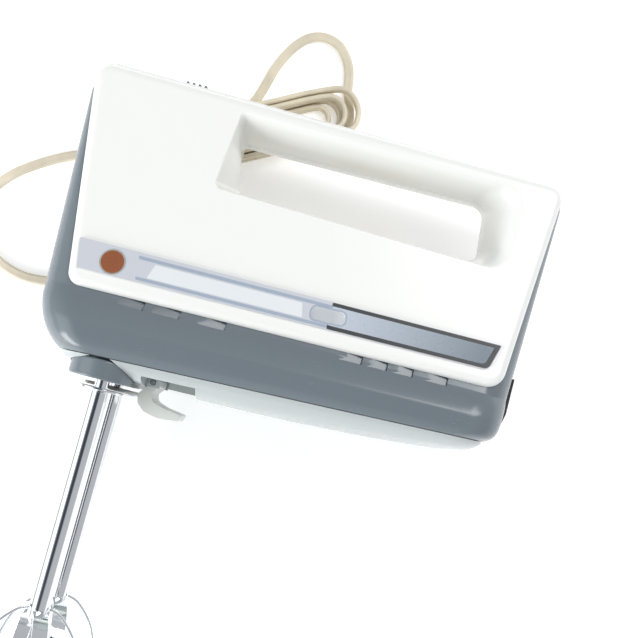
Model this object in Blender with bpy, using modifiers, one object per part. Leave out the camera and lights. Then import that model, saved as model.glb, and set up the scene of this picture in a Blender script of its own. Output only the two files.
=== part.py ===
"""Electric hand mixer lying on its right side, with its cord wound into a hank under the handle.

Lengths here are in millimetres and become metres where a mesh is made. Mixer coordinates: x to the
heel, y up through the handle, z to the left side, with the origin at the lower front corner of the
white shells, on the mid-plane. The datum empty puts the mixer's left side up, so that its widest
line lies on the surface at world z = 0 and the mid-plane is level.
"""

import math

import bmesh
import bpy
from mathutils import Matrix, Vector

MM = 0.001
GAP = 0.3                     # running gap between neighbouring pieces

# Body
HALF_WIDTH = 41.5             # widest half-width, low on the grey housing
NOSE_X = -18.3                # front of the grey housing, near its top
TAIL_X = 188.0                # rear of the grey housing, near its top
HEEL_X = 185.6                # outer face of the heel pad
SHELL_BASE = 38.0             # half-width of the white shells at y = 0
SHELL_TAPER = 0.147           # half-width lost per mm of height
SHELL_WALL = 2.3
SHELL_EDGE = 2.6              # rounding of the side panel's edge
CROWN = 4.0                   # rise of the top from the panel edge to the mid-plane
HOUSING_WALL = 2.2
TOP_Y = 101.0                 # highest point, the ridges of the speed slide

# Drive
BEATER_X = 20.5
BEATER_Z = 18.0               # half the distance between the two beater axes
MOTOR_X = 88.0                # middle of the stator
MOTOR_Y = 2.0                 # height of the motor shaft
WHEEL_TEETH = 22
WORM_PITCH = 4.0
WORM_RADIUS = 3.8
WHEEL_RADIUS = 13.8
SHAFT_RADIUS = 2.5
BOSS_Z = 24.4                 # half the distance between the centres of the boss's round ends
BOSS_RADIUS = 13.0

# Beaters
COLLAR_TOP = -37.3
CAGE_TOP = -134.0
TIP_Y = -194.0
CAGE_RADIUS = 21.0
STEM_RADIUS = 3.0
TUBE_RADIUS = 4.0
BLADE_TURN = 22.5             # the right beater's blades stand half a pitch from the left one's

# Beater ejector
PIVOT = (40.5, -29.6)
LEVER_HALF = 12.0

# Cord
CORD_RADIUS = 2.0
CORD_Z = CORD_RADIUS + 0.1 - HALF_WIDTH
HANK_START = Vector((2.0, 72.0))
HANK_END = Vector((78.0, 113.0))
HANK_HALF = 13.0
HANK_HEIGHT = 11.4
LEAD_ROUTE = [
    (139.6, 38.0, -38.7), (124.0, 37.0, -39.3), (100.0, 36.0, CORD_Z), (60.0, 32.5, CORD_Z),
    (22.0, 24.0, CORD_Z), (-4.0, 12.5, CORD_Z), (-20.0, 5.5, CORD_Z), (-32.0, 2.8, CORD_Z),
    (-43.0, 3.2, CORD_Z), (-54.0, 7.5, CORD_Z), (-63.0, 15.5, CORD_Z), (-67.5, 26.0, CORD_Z),
    (-65.5, 37.5, CORD_Z), (-57.0, 48.5, CORD_Z), (-44.0, 58.0, CORD_Z), (-30.0, 64.8, CORD_Z),
    (-11.4, 69.6, CORD_Z),
]
LOOP_ROUTE = [
    (44.8, 112.4, CORD_Z), (46.4, 119.0, CORD_Z), (49.0, 130.0, CORD_Z), (53.8, 140.6, CORD_Z),
    (60.0, 148.0, CORD_Z), (67.6, 150.8, CORD_Z), (75.8, 148.6, CORD_Z), (81.8, 141.6, CORD_Z),
    (84.2, 133.6, CORD_Z), (83.6, 126.6, CORD_Z),
]
TAIL_ROUTE = [
    (-4.6, 57.0, CORD_Z), (1.5, 53.6, CORD_Z), (10.0, 51.0, CORD_Z), (28.0, 49.8, CORD_Z),
    (50.0, 51.0, CORD_Z), (68.0, 52.6, -38.8), (78.0, 53.0, -37.3), (87.4, 53.0, -36.9),
]
PLUG_X = 88.0                 # cord end of the plug
PLUG_Y = 53.0
PLUG_Z = -36.9

COLOURS = {
    "white": ((0.83, 0.84, 0.80), 0.30, 0.0),
    "grey": ((0.24, 0.28, 0.33), 0.22, 0.0),
    "pale_grey": ((0.52, 0.55, 0.55), 0.25, 0.0),
    "chrome": ((0.80, 0.81, 0.82), 0.08, 1.0),
    "steel": ((0.56, 0.57, 0.58), 0.35, 1.0),
    "foil": ((0.66, 0.69, 0.73), 0.25, 0.9),
    "black": ((0.03, 0.03, 0.03), 0.55, 0.0),
    "copper": ((0.62, 0.28, 0.14), 0.35, 1.0),
    "brass": ((0.70, 0.52, 0.24), 0.35, 1.0),
    "bronze": ((0.45, 0.30, 0.16), 0.45, 1.0),
    "nylon": ((0.75, 0.72, 0.62), 0.45, 0.0),
    "cream": ((0.74, 0.67, 0.52), 0.45, 0.0),
    "carbon": ((0.06, 0.06, 0.06), 0.60, 0.0),
}

parts = None
cutters = None
datum = None
materials = {}


def start_scene():
    """Empties the scene and makes the two collections and the datum that the mixer hangs from."""
    global parts, cutters, datum
    for item in list(bpy.data.objects):
        bpy.data.objects.remove(item)
    parts = bpy.data.collections.new("hand_mixer")
    cutters = bpy.data.collections.new("cutters")
    bpy.context.scene.collection.children.link(parts)
    bpy.context.scene.collection.children.link(cutters)
    datum = bpy.data.objects.new("mixer_datum", None)
    datum.location = Vector((-(NOSE_X + TAIL_X) / 2, -(TIP_Y + TOP_Y) / 2, HALF_WIDTH)) * MM
    parts.objects.link(datum)


def finish_of(colour):
    """One Principled material for each colour."""
    if colour not in materials:
        base, roughness, metallic = COLOURS[colour]
        material = bpy.data.materials.new(colour)
        material.use_nodes = True
        shader = material.node_tree.nodes["Principled BSDF"]
        shader.inputs["Base Color"].default_value = (*base, 1.0)
        shader.inputs["Roughness"].default_value = roughness
        shader.inputs["Metallic"].default_value = metallic
        materials[colour] = material
    return materials[colour]


def place(name, data, colour):
    """Links an object under the datum: a part with its colour, or a hidden cutter when colour is None."""
    item = bpy.data.objects.new(name, data)
    if colour is None:
        cutters.objects.link(item)
        item.hide_render = True
        item.display_type = "WIRE"
    else:
        parts.objects.link(item)
        data.materials.append(finish_of(colour))
    item.parent = datum
    return item


def from_bmesh(name, bm, colour):
    bmesh.ops.recalc_face_normals(bm, faces=bm.faces)
    mesh = bpy.data.meshes.new(name)
    bm.to_mesh(mesh)
    bm.free()
    return place(name, mesh, colour)


def box(name, low, high, colour):
    bm = bmesh.new()
    middle = (Vector(low) + Vector(high)) / 2 * MM
    size = (Vector(high) - Vector(low)) * MM
    bmesh.ops.create_cube(bm, size=1, matrix=Matrix.Translation(middle) @ Matrix.Diagonal((*size, 1)))
    return from_bmesh(name, bm, colour)


def axis_matrix(axis, at):
    """Turns local Z onto the named axis and moves the origin to the point at, in millimetres."""
    turns = {
        "x": Matrix(((0, 0, 1), (1, 0, 0), (0, 1, 0))),
        "y": Matrix(((1, 0, 0), (0, 0, 1), (0, -1, 0))),
        "z": Matrix.Identity(3),
    }
    return Matrix.Translation(Vector(at) * MM) @ turns[axis].to_4x4()


def rod(name, axis, at, radius, low, high, colour, sides=20):
    """A straight cylinder along an axis through at, from low to high on that axis."""
    bm = bmesh.new()
    along = axis_matrix(axis, at) @ Matrix.Translation((0, 0, (low + high) / 2 * MM))
    bmesh.ops.create_cone(bm, cap_ends=True, segments=sides, radius1=radius * MM, radius2=radius * MM,
                          depth=(high - low) * MM, matrix=along)
    return from_bmesh(name, bm, colour)


def turned(name, axis, at, profile, colour, steps=24, hollow=False):
    """A lathe shape: profile points (radius, height) run down the outer side; hollow closes the loop."""
    mesh = bpy.data.meshes.new(name)
    points = [(r * MM, 0.0, h * MM) for r, h in profile]
    edges = [(i, i + 1) for i in range(len(points) - 1)]
    if hollow:
        edges.append((len(points) - 1, 0))
    mesh.from_pydata(points, edges, [])
    item = place(name, mesh, colour)
    item.matrix_local = axis_matrix(axis, at)
    screw = item.modifiers.new("turn", "SCREW")
    screw.steps = steps
    screw.render_steps = steps
    screw.use_merge_vertices = True
    screw.merge_threshold = 1e-5
    return item


def ring(name, axis, at, inner, outer, low, high, colour, steps=24):
    profile = [(outer, high), (outer, low), (inner, low), (inner, high)]
    return turned(name, axis, at, profile, colour, steps, hollow=True)


def as_mesh(item, colour):
    """Replaces a curve object by its welded mesh, so that it can be cut."""
    mesh = bpy.data.meshes.new_from_object(item.evaluated_get(bpy.context.evaluated_depsgraph_get()))
    bm = bmesh.new()
    bm.from_mesh(mesh)
    bmesh.ops.remove_doubles(bm, verts=bm.verts, dist=1e-6)
    bmesh.ops.recalc_face_normals(bm, faces=bm.faces)
    bm.to_mesh(mesh)
    bm.free()
    mesh.materials.clear()
    name, matrix = item.name, item.matrix_local.copy()
    bpy.data.objects.remove(item)
    solid = place(name, mesh, colour)
    solid.matrix_local = matrix
    return solid


def extruded(name, outlines, axis, low, high, colour, at=(0, 0, 0)):
    """A flat outline, with any holes as further outlines, extruded along an axis from low to high."""
    curve = bpy.data.curves.new(name, "CURVE")
    curve.dimensions = "2D"
    curve.fill_mode = "BOTH"
    curve.extrude = (high - low) / 2 * MM
    for outline in outlines:
        spline = curve.splines.new("POLY")
        spline.points.add(len(outline) - 1)
        for point, (u, v) in zip(spline.points, outline):
            point.co = (u * MM, v * MM, 0, 1)
        spline.use_cyclic_u = True
    item = place(name, curve, "steel")
    item.matrix_local = axis_matrix(axis, at) @ Matrix.Translation((0, 0, (low + high) / 2 * MM))
    bpy.context.view_layer.update()
    return as_mesh(item, colour)


def tube(name, route, radius, colour, resolution=2, spacing=None):
    """A round bar along a route: straight between the route's points, or resampled smooth by spacing."""
    points = smooth_route(route, spacing) if spacing else [Vector(p) for p in route]
    curve = bpy.data.curves.new(name, "CURVE")
    curve.dimensions = "3D"
    curve.bevel_depth = radius * MM
    curve.bevel_resolution = resolution
    curve.use_fill_caps = True
    spline = curve.splines.new("POLY")
    spline.points.add(len(points) - 1)
    for target, point in zip(spline.points, points):
        target.co = (*(point * MM), 1)
    return place(name, curve, colour)


def smooth_route(route, spacing):
    """Points about a spacing apart on the Catmull-Rom curve through a route."""
    knots = [Vector(p) for p in route]
    ends = [2 * knots[0] - knots[1], *knots, 2 * knots[-1] - knots[-2]]
    points = [knots[0]]
    for a, b, c, d in zip(ends, ends[1:], ends[2:], ends[3:]):
        count = max(1, round((c - b).length / spacing))
        for i in range(1, count + 1):
            t = i / count
            points.append(0.5 * (2 * b + (c - a) * t + (2 * a - 5 * b + 4 * c - d) * t * t
                                 + (3 * b - a - 3 * c + d) * t ** 3))
    return points


def boolean(item, cutter, operation="DIFFERENCE"):
    step = item.modifiers.new(cutter.name, "BOOLEAN")
    step.operation = operation
    step.object = cutter
    step.solver = "EXACT"
    return item


def loft(name, rings, colour, mirror_caps=False):
    """A closed solid through rings of equal length. mirror_caps closes each end with strips between
    the two halves of a ring that is symmetric about z = 0, so that a curved end stays smooth."""
    bm = bmesh.new()
    rows = [[bm.verts.new(Vector(p) * MM) for p in points] for points in rings]
    count = len(rows[0])
    for lower, upper in zip(rows, rows[1:]):
        for i in range(count):
            j = (i + 1) % count
            bm.faces.new((lower[i], lower[j], upper[j], upper[i]))
    for row in (rows[0], rows[-1]):
        if mirror_caps:
            for i in range(count // 2 - 1):
                bm.faces.new((row[i], row[i + 1], row[count - 2 - i], row[count - 1 - i]))
        else:
            bm.faces.new(row)
    return from_bmesh(name, bm, colour)


def arc(centre, radius, start, end, steps):
    """Points on an arc, angles in degrees, both ends included."""
    angles = [math.radians(start + (end - start) * i / steps) for i in range(steps + 1)]
    return [(centre[0] + radius * math.cos(a), centre[1] + radius * math.sin(a)) for a in angles]


def rounded(corners, steps=4):
    """A closed outline from (x, y, radius) corners, each corner replaced by a tangent arc."""
    outline = []
    count = len(corners)
    for i, (x, y, radius) in enumerate(corners):
        here = Vector((x, y))
        back = (Vector(corners[i - 1][:2]) - here).normalized()
        ahead = (Vector(corners[(i + 1) % count][:2]) - here).normalized()
        if radius <= 0:
            outline.append((x, y))
            continue
        half = back.angle(ahead) / 2
        centre = here + (back + ahead).normalized() * (radius / math.sin(half))
        first = here + back * (radius / math.tan(half)) - centre
        last = here + ahead * (radius / math.tan(half)) - centre
        sweep = first.angle_signed(last)
        for k in range(steps + 1):
            turn = Matrix.Rotation(-sweep * k / steps, 2)
            outline.append(tuple(centre + turn @ first))
    return outline


def stadium(start, end, radius, steps=8):
    """A slot shape around the segment from start to end."""
    start, end = Vector(start), Vector(end)
    heading = math.degrees(math.atan2(end.y - start.y, end.x - start.x))
    return (arc(end, radius, heading - 90, heading + 90, steps)
            + arc(start, radius, heading + 90, heading + 270, steps))


def shell_half_width(y):
    return SHELL_BASE - SHELL_TAPER * y


# White shells ---------------------------------------------------------------------------------

PANEL_CORNERS = [(-1.1, 0.0, 6.0), (178.4, 2.7, 8.0), (187.0, 92.8, 6.0), (-17.8, 95.4, 7.0)]
INNER_CORNERS = [
    (-45.0, -12.0), (215.0, -12.0), (215.0, 88.6), (183.4, 88.6), (182.8, 90.2), (-10.6, 92.6),
    (-13.9, 88.6), (-45.0, 88.6),
]
OPENING_MID = [(53.4, 58.6, 3.0), (161.0, 56.6, 5.0), (157.6, 82.4, 5.0), (47.8, 81.4, 3.0)]
OPENING_SIDE = [(44.8, 54.2, 3.0), (170.6, 50.8, 9.0), (173.0, 88.6, 9.0), (47.4, 90.4, 2.0)]
POSTS = [(2.0, 74.0), (14.0, 22.0), (175.6, 62.0), (168.0, 20.0)]


def inset_outline(corners, inset):
    """The rounded outline drawn inwards by an inset: the arcs shrink about their own centres."""
    outline = rounded(corners)
    count = len(outline)
    moved = []
    for i, (x, y) in enumerate(outline):
        tangent = Vector(outline[(i + 1) % count]) - Vector(outline[i - 1])
        inward = Vector((-tangent.y, tangent.x)).normalized()
        moved.append((x + inward.x * inset, y + inward.y * inset))
    return moved


def crown(y, z):
    """Rise of the top surface towards the mid-plane; nothing below the top corners."""
    if y < 84.0:
        return 0.0
    return CROWN * max(0.0, 1 - (z / 24.0) ** 2) * (y - 84.0) / 11.0


def shell_solid(name, side, colour):
    """The outer shape of one white shell, before it is hollowed."""
    rings = []
    for level in (0.15, 8.0, 15.0):
        rings.append([(x, y + crown(y, level), side * level) for x, y in inset_outline(PANEL_CORNERS, 0)])
    for depth, inset in ((SHELL_EDGE, 0.0), (0.76, 0.76), (0.0, SHELL_EDGE)):
        outline = inset_outline(PANEL_CORNERS, inset)
        rings.append([(x, y, side * (shell_half_width(y) - depth)) for x, y in outline])
    return loft(name, rings, colour)


def opening_solid(name, side, grow):
    """The finger opening on one side, from the mid-plane out past the panel. It flares towards the
    panel, and the grip above it is rounded. grow widens it by a wall's thickness."""
    rings = []
    for share in (-0.02, 0.3, 0.55, 0.75, 0.9, 1.0, 1.12):
        flare = min(1.0, max(0.0, share))
        round_over = 1 - math.sqrt(max(0.0, 1 - flare ** 2))
        corners = []
        for index, (mid, edge) in enumerate(zip(OPENING_MID, OPENING_SIDE)):
            across = flare if index in (0, 3) else round_over
            up = flare if index < 2 else round_over
            corners.append((mid[0] + (edge[0] - mid[0]) * across, mid[1] + (edge[1] - mid[1]) * up,
                            mid[2] + (edge[2] - mid[2]) * flare))
        outline = inset_outline(corners, -grow)
        rings.append([(x, y, side * share * shell_half_width(y)) for x, y in outline])
    return loft(name, rings, None)


def white_shell(name, side):
    cavity_rings = [[(x, y + crown(y, 0.0), -side) for x, y in INNER_CORNERS],
                    [(x, y + crown(y, 12.0), side * 12.0) for x, y in INNER_CORNERS],
                    [(x, y, side * (shell_half_width(y) - SHELL_WALL)) for x, y in INNER_CORNERS]]
    cavity = loft(name + "_cavity", cavity_rings, None)
    boolean(cavity, opening_solid(name + "_tunnel", side, SHELL_WALL))
    shell = shell_solid(name, side, "white")
    boolean(shell, cavity)
    for index, (x, y) in enumerate(POSTS):
        ends = sorted((side * 0.15, side * (shell_half_width(y) - 1.0)))
        post = rod(f"{name}_post_{index}", "z", (x, y, 0), 4.2, *ends, None, 16)
        boolean(shell, post, "UNION")
    boolean(shell, opening_solid(name + "_opening", side, 0.0))
    for index, (x, y) in enumerate(POSTS):
        if side > 0:
            bore = rod(f"{name}_bore_{index}", "z", (x, y, 0), 1.9, -1.0, 14.0, None, 12)
        else:
            outer = -shell_half_width(y) - 2.0
            bore = turned(f"{name}_bore_{index}", "z", (x, y, 0),
                          [(0, 1.0), (1.9, 1.0), (1.9, outer + 6.0), (3.8, outer + 6.0), (3.8, outer),
                           (0, outer)], None, 12)
        boolean(shell, bore)
    boolean(shell, box(name + "_slide_slot", (17.0, 90.0, -2.3), (44.0, 104.0, 2.3), None))
    if side < 0:
        boolean(shell, rod("cord_hole", "z", (170.0, 40.0, 0), 4.3, -45.0, -20.0, None))


# Grey housing and bottom pan ------------------------------------------------------------------

def body_ring(front, rear, half_width, corner, y_front, lift, bend=1.0):
    """A rounded rectangle in x and z whose height rises by lift from front to rear."""
    half = arc((front + corner, half_width - corner), corner, 180, 90, 4)
    side_points = 9
    flat_start, flat_end = front + corner, rear - corner
    for i in range(1, side_points):
        half.append((flat_start + (flat_end - flat_start) * i / side_points, half_width))
    half += arc((rear - corner, half_width - corner), corner, 90, 0, 4)
    near = [(x, y_front + lift * max(0.0, (x - front) / (rear - front)) ** bend, z) for x, z in half]
    return near + [(x, y, -z) for x, y, z in reversed(near)]


HOUSING_RINGS = [
    # front, rear, half-width, corner radius, height at the front, lift to the rear
    (1.0, 178.4, 39.2, 16.0, -25.8, 7.2),
    (-2.0, 181.2, 41.0, 16.0, -23.4, 6.8),
    (-5.6, 182.8, 41.5, 16.0, -19.6, 6.0),
    (-9.0, 183.4, 41.5, 16.0, -14.0, 4.6),
    (-11.6, 183.7, 39.0, 15.0, -6.5, 2.6),
    (-12.4, 183.8, 35.5, 14.0, 0.0, 0.4),
    (NOSE_X, TAIL_X, 23.1, 9.0, 84.0, 0.0),
    (-17.6, 187.5, 22.0, 8.5, 87.0, 0.0),
    (-16.0, 186.0, 20.2, 7.5, 88.2, 0.0),
]
VENTS = [(19.9, 31.5), (34.6, 46.2), (53.6, 65.1), (111.6, 121.6), (122.8, 132.0), (133.2, 142.6),
         (145.4, 156.8)]
PAN_POSTS = [(44.0, -31.5), (162.0, -31.5)]


def motor_housing():
    """The grey tub: nose, rear wall and low skirt with the cooling vents under the white shells."""
    tub = loft("motor_housing", [body_ring(*row) for row in HOUSING_RINGS], "grey", mirror_caps=True)
    inner = []
    for front, rear, width, corner, height, lift in HOUSING_RINGS:
        inner.append(body_ring(front + HOUSING_WALL, rear - HOUSING_WALL, width - HOUSING_WALL,
                               corner - HOUSING_WALL, min(height, 85.6), lift))
    lowest = HOUSING_RINGS[0]
    inner.insert(0, body_ring(lowest[0] + HOUSING_WALL, lowest[1] - HOUSING_WALL,
                              lowest[2] - HOUSING_WALL, lowest[3] - HOUSING_WALL, -34.0, lowest[5]))
    inner[-2] = body_ring(-15.4, 185.3, 19.8, 6.3, 85.0, 0.0)
    inner[-1] = body_ring(-14.3, 184.0, 18.6, 5.4, 86.0, 0.0)
    boolean(tub, loft("housing_cavity", inner, None, mirror_caps=True))
    side_cut = rounded([(3.0, 3.4, 2.0), (174.6, 5.6, 2.0), (183.6, 100.0, 0.0), (-14.5, 100.0, 0.0)])
    boolean(tub, extruded("housing_side_cut", [side_cut], "z", -60.0, 60.0, None))
    for index, (x, z) in enumerate(PAN_POSTS):
        foot = -16.5 if x < 80 else -13.0
        post = rod(f"housing_post_{index}", "y", (x, 0, z), 4.0, foot - 1.5, foot + 13.5, None, 16)
        boolean(tub, post, "UNION")
    for index, (x, z) in enumerate(PAN_POSTS):
        boolean(tub, rod(f"housing_pilot_{index}", "y", (x, 0, z), 1.5, -40.0, -4.0, None, 12))
    slots = bmesh.new()
    for low, high in VENTS:
        foot = -3.37 + 0.0163 * low
        middle = Vector(((low + high) / 2, foot + 1.5, 0)) * MM
        size = Vector((high - low, 3.0, 90.0)) * MM
        bmesh.ops.create_cube(slots, size=1, matrix=Matrix.Translation(middle) @ Matrix.Diagonal((*size, 1)))
    boolean(tub, from_bmesh("vent_slots", slots, None))


PAN_RINGS = [
    # as above, and how late the lift sets in
    (1.3, 178.1, 38.9, 15.8, -26.1, 7.2, 1.0),
    (3.8, 176.6, 36.4, 15.0, -28.2, 7.3, 1.2),
    (8.0, 173.0, 30.0, 13.0, -30.6, 7.2, 1.7),
    (13.0, 166.0, 20.0, 9.0, -31.8, 6.6, 2.4),
    (19.0, 160.0, 9.0, 5.0, -32.1, 6.0, 2.6),
]
PAN_WALL = 2.0


def bottom_pan():
    """The pale, bellied bottom cover: a hole for the socket boss, a recess open to the left for the lever
    with two cheeks for its pin, two tabs inside the left rim and two screw seats at the right."""
    pan = loft("bottom_pan", [body_ring(*row) for row in PAN_RINGS], "pale_grey", mirror_caps=True)
    hollow = []
    for front, rear, width, corner, height, lift, bend in PAN_RINGS:
        hollow.append(body_ring(front + PAN_WALL, rear - PAN_WALL, width - PAN_WALL, corner - PAN_WALL,
                                height + PAN_WALL, lift, bend))
    rim = PAN_RINGS[0]
    hollow.insert(0, body_ring(rim[0] + PAN_WALL, rim[1] - PAN_WALL, rim[2] - PAN_WALL,
                               rim[3] - PAN_WALL, -18.0, rim[5], 1.0))
    boolean(pan, loft("pan_cavity", hollow, None, mirror_caps=True))
    for index, (foot, low, high) in enumerate(((-30.6, -15.6, 15.6), (-29.7, -27.6, 28.0),
                                               (-27.9, 15.0, 33.6))):
        pocket = box(f"lever_pocket_{index}", (35.9, foot, low), (61.6, -24.9, high), None)
        boolean(pan, pocket, "UNION")
    for index, (start, foot) in enumerate(((78.0, -24.6), (128.0, -22.5))):
        tab = box(f"pan_tab_{index}", (start, foot, 34.9), (start + 10.0, foot + 8.0, 36.4), None)
        boolean(pan, tab, "UNION")
    for index, (x, z) in enumerate(PAN_POSTS):
        seat = rod(f"pan_seat_{index}", "y", (x, 0, z), 3.6, -28.6 if x < 80 else -22.6,
                   -18.4 if x < 80 else -14.9, None, 16)
        boolean(pan, seat, "UNION")
    boolean(pan, box("lever_recess", (37.5, -40.0, -26.0), (60.0, -26.5, 34.4), None))
    for side in (1, -1):
        ends = sorted((side * 14.0, side * 15.6))
        cheek = box(f"pivot_cheek_{side}", (36.7, -31.6, ends[0]), (43.5, -25.6, ends[1]), None)
        boolean(pan, cheek, "UNION")
    boolean(pan, rod("pivot_hole", "z", (*PIVOT, 0), 1.3, -20.0, 20.0, None, 12))
    hole = stadium((BEATER_X, -BOSS_Z), (BEATER_X, BOSS_Z), BOSS_RADIUS + GAP)
    boolean(pan, extruded("boss_hole", [hole], "y", -40.0, -20.0, None))
    for index, (x, z) in enumerate(PAN_POSTS):
        head = -31.0 if x < 80 else -25.0
        boolean(pan, turned(f"pan_bore_{index}", "y", (x, 0, z),
                            [(0, -10.0), (1.8, -10.0), (1.8, head + 5.0), (3.0, head + 5.0),
                             (3.0, head - 8.0), (0, head - 8.0)], None, 12))


def socket_boss():
    """The grey boss on the underside that carries both spindle bushes."""
    outline = stadium((BEATER_X, -BOSS_Z), (BEATER_X, BOSS_Z), BOSS_RADIUS, 12)
    boss = extruded("socket_boss", [outline], "y", -34.0, -25.9, "grey")
    for side in (1, -1):
        boolean(boss, rod(f"boss_bore_{side}", "y", (BEATER_X, 0, side * BEATER_Z), 8.8, -40.0, -15.0,
                          None, 24))


def heel_pad():
    """Black rubber pad on the lower rear wall, on which the mixer stands between jobs."""
    outline = [(HEEL_X - 0.9, 10.0), (HEEL_X - 1.5, 0.0), (HEEL_X - 1.6, -3.9), (HEEL_X - 1.9, -9.4),
               (HEEL_X - 1.2, -10.2), (HEEL_X, -5.0), (HEEL_X, 10.0)]
    extruded("heel_pad", [outline], "z", -20.0, 20.0, "black")


def label_strip():
    """The metal trim strip along the foot of the left panel, tilted with the panel."""
    outline = rounded([(1.4, 7.3, 1.0), (171.6, 9.6, 3.0), (174.8, 20.6, 0.6), (-1.0, 19.4, 0.6)], 3)
    lift = 0.3
    rings = [[(x, y, shell_half_width(y) + height) for x, y in outline] for height in (lift, lift + 0.5)]
    loft("label_strip", rings, "foil")


def screws():
    """Four long shell screws from the right side and two short ones up through the bottom pan."""
    for index, (x, y) in enumerate(POSTS, 1):
        seat = -shell_half_width(y) + 4.0 - 0.2
        turned(f"shell_screw_{index}", "z", (x, y, 0),
               [(0, 12.0), (1.4, 11.0), (1.4, seat), (3.2, seat), (3.2, seat - 1.4), (2.4, seat - 2.2),
                (0, seat - 2.2)], "steel", 12)
    for index, (x, z) in enumerate(PAN_POSTS, 1):
        seat = (-31.0 if x < 80 else -25.0) + 4.6
        turned(f"pan_screw_{index}", "y", (x, 0, z),
               [(0, -7.0), (1.2, -8.0), (1.2, seat), (2.6, seat), (2.6, seat - 1.2), (1.9, seat - 1.8),
                (0, seat - 1.8)], "steel", 12)


# Speed slide and switch -----------------------------------------------------------------------

def speed_control():
    """Thumb slide on top with four ridges, a finger down through the slot, and the switch it works."""
    slide = box("speed_slide", (16.4, 99.4, -6.0), (28.8, 100.2, 6.0), "grey")
    for index in range(4):
        x = 18.5 + 2.7 * index
        boolean(slide, box(f"slide_ridge_{index}", (x - 0.6, 99.8, -5.2), (x + 0.6, TOP_Y, 5.2), None),
                "UNION")
    boolean(slide, box("slide_stem", (18.0, 90.2, -1.9), (27.0, 99.8, 1.9), None), "UNION")
    boolean(slide, box("slide_flange", (15.0, 90.0, -5.0), (30.0, 92.2, 5.0), None), "UNION")
    boolean(slide, box("slide_finger", (21.0, 87.0, -1.6), (24.0, 90.6, 1.6), None), "UNION")
    switch = box("speed_switch", (12.0, 76.0, -8.5), (43.0, 88.0, 8.5), "black")
    boolean(switch, box("switch_groove", (10.0, 86.4, -2.4), (45.0, 90.0, 2.4), None))


# Beater ejector -------------------------------------------------------------------------------

LEVER_OUTLINE = [
    (12.0, -36.9, 0.0), (35.2, -36.9, 0.8), (35.7, -39.6, 3.0), (39.2, -42.6, 4.0), (45.6, -43.8, 8.0),
    (54.0, -42.9, 0.8), (54.9, -39.9, 0.8), (46.4, -38.7, 3.0), (41.4, -37.0, 3.0), (40.6, -34.0, 1.5),
    (42.9, -31.0, 1.0), (42.6, -27.7, 1.4), (38.5, -27.7, 1.4), (38.1, -31.2, 1.0), (35.0, -35.7, 1.0),
    (12.0, -35.7, 0.0),
]


def ejector():
    """The white lever: a tongue over both beater collars and a hook that the thumb squeezes up."""
    lever = extruded("ejector_lever", [rounded(LEVER_OUTLINE, 3)], "z", -LEVER_HALF, LEVER_HALF, "white")
    boolean(lever, rod("lever_bore", "z", (*PIVOT, 0), 1.3, -20.0, 20.0, None, 12))
    rod("ejector_pin", "z", (*PIVOT, 0), 1.0, -15.3, 15.3, "steel", 12)
    ring("ejector_spring", "z", (*PIVOT, 0), 1.35, 2.1, LEVER_HALF + 0.3, 13.7, "steel", 16)


# Gear train -----------------------------------------------------------------------------------

def gear_outline(teeth, root, tip):
    """A simple trapezoid-toothed wheel."""
    outline = []
    for index in range(teeth):
        for share, radius in ((0.05, root), (0.28, tip), (0.60, tip), (0.83, root)):
            angle = 2 * math.pi * (index + share) / teeth
            outline.append((radius * math.cos(angle), radius * math.sin(angle)))
    return outline


def gear_train():
    """Spindles with their wheels and bushes, and the frame that holds them and the worm."""
    frame = box("gear_frame", (-2.0, -19.0, -27.0), (46.0, -16.4, 27.0), "steel")
    for index, x in enumerate((-1.5, 42.5)):
        upright = box(f"frame_upright_{index}", (x, -17.0, -9.0), (x + 3.0, 10.0, 9.0), None)
        boolean(frame, upright, "UNION")
    boolean(frame, rod("frame_bearing_holes", "x", (0, MOTOR_Y, 0), 4.6, -10.0, 60.0, None, 16))
    for side, word in ((1, "left"), (-1, "right")):
        z = side * BEATER_Z
        boolean(frame, rod(f"frame_spindle_hole_{word}", "y", (BEATER_X, 0, z), 5.9, -30.0, 0.0, None))
        turned(f"spindle_{word}", "y", (BEATER_X, 0, z),
               [(0, 12.0), (5.4, 12.0), (5.4, -33.8), (3.3, -33.8), (3.3, 1.0), (0, 1.0)], "steel", 16)
        ring(f"spindle_bush_{word}", "y", (BEATER_X, 0, z), 5.7, 8.5, -33.6, -26.2, "bronze", 20)
        hole = arc((0, 0), 5.7, 0, 345, 23)
        extruded(f"worm_wheel_{word}", [gear_outline(WHEEL_TEETH, 12.1, WHEEL_RADIUS), hole], "y",
                 MOTOR_Y - 4.0, MOTOR_Y + 4.0, "nylon", (BEATER_X, 0, z))


def armature_shaft():
    """The motor shaft with the single-start worm cut into it, as rings of a varying radius."""
    sides = 12
    low, high = BEATER_X - 12.0, BEATER_X + 12.0
    samples = 6
    count = round((high - low) / WORM_PITCH * samples)
    levels = [-3.0, low - 1.0] + [low + (high - low) * i / count for i in range(count + 1)]
    levels += [high + 1.0, 140.0]
    rings = []
    for x in levels:
        points = []
        for k in range(sides):
            angle = 2 * math.pi * k / sides
            radius = SHAFT_RADIUS
            if low <= x <= high:
                phase = (x - low) / WORM_PITCH - k / sides
                radius += (WORM_RADIUS - SHAFT_RADIUS) * (0.5 + 0.5 * math.cos(2 * math.pi * phase))
            points.append((x, MOTOR_Y + radius * math.cos(angle), radius * math.sin(angle)))
        rings.append(points)
    loft("armature_shaft", rings, "steel")


# Motor ----------------------------------------------------------------------------------------

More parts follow.
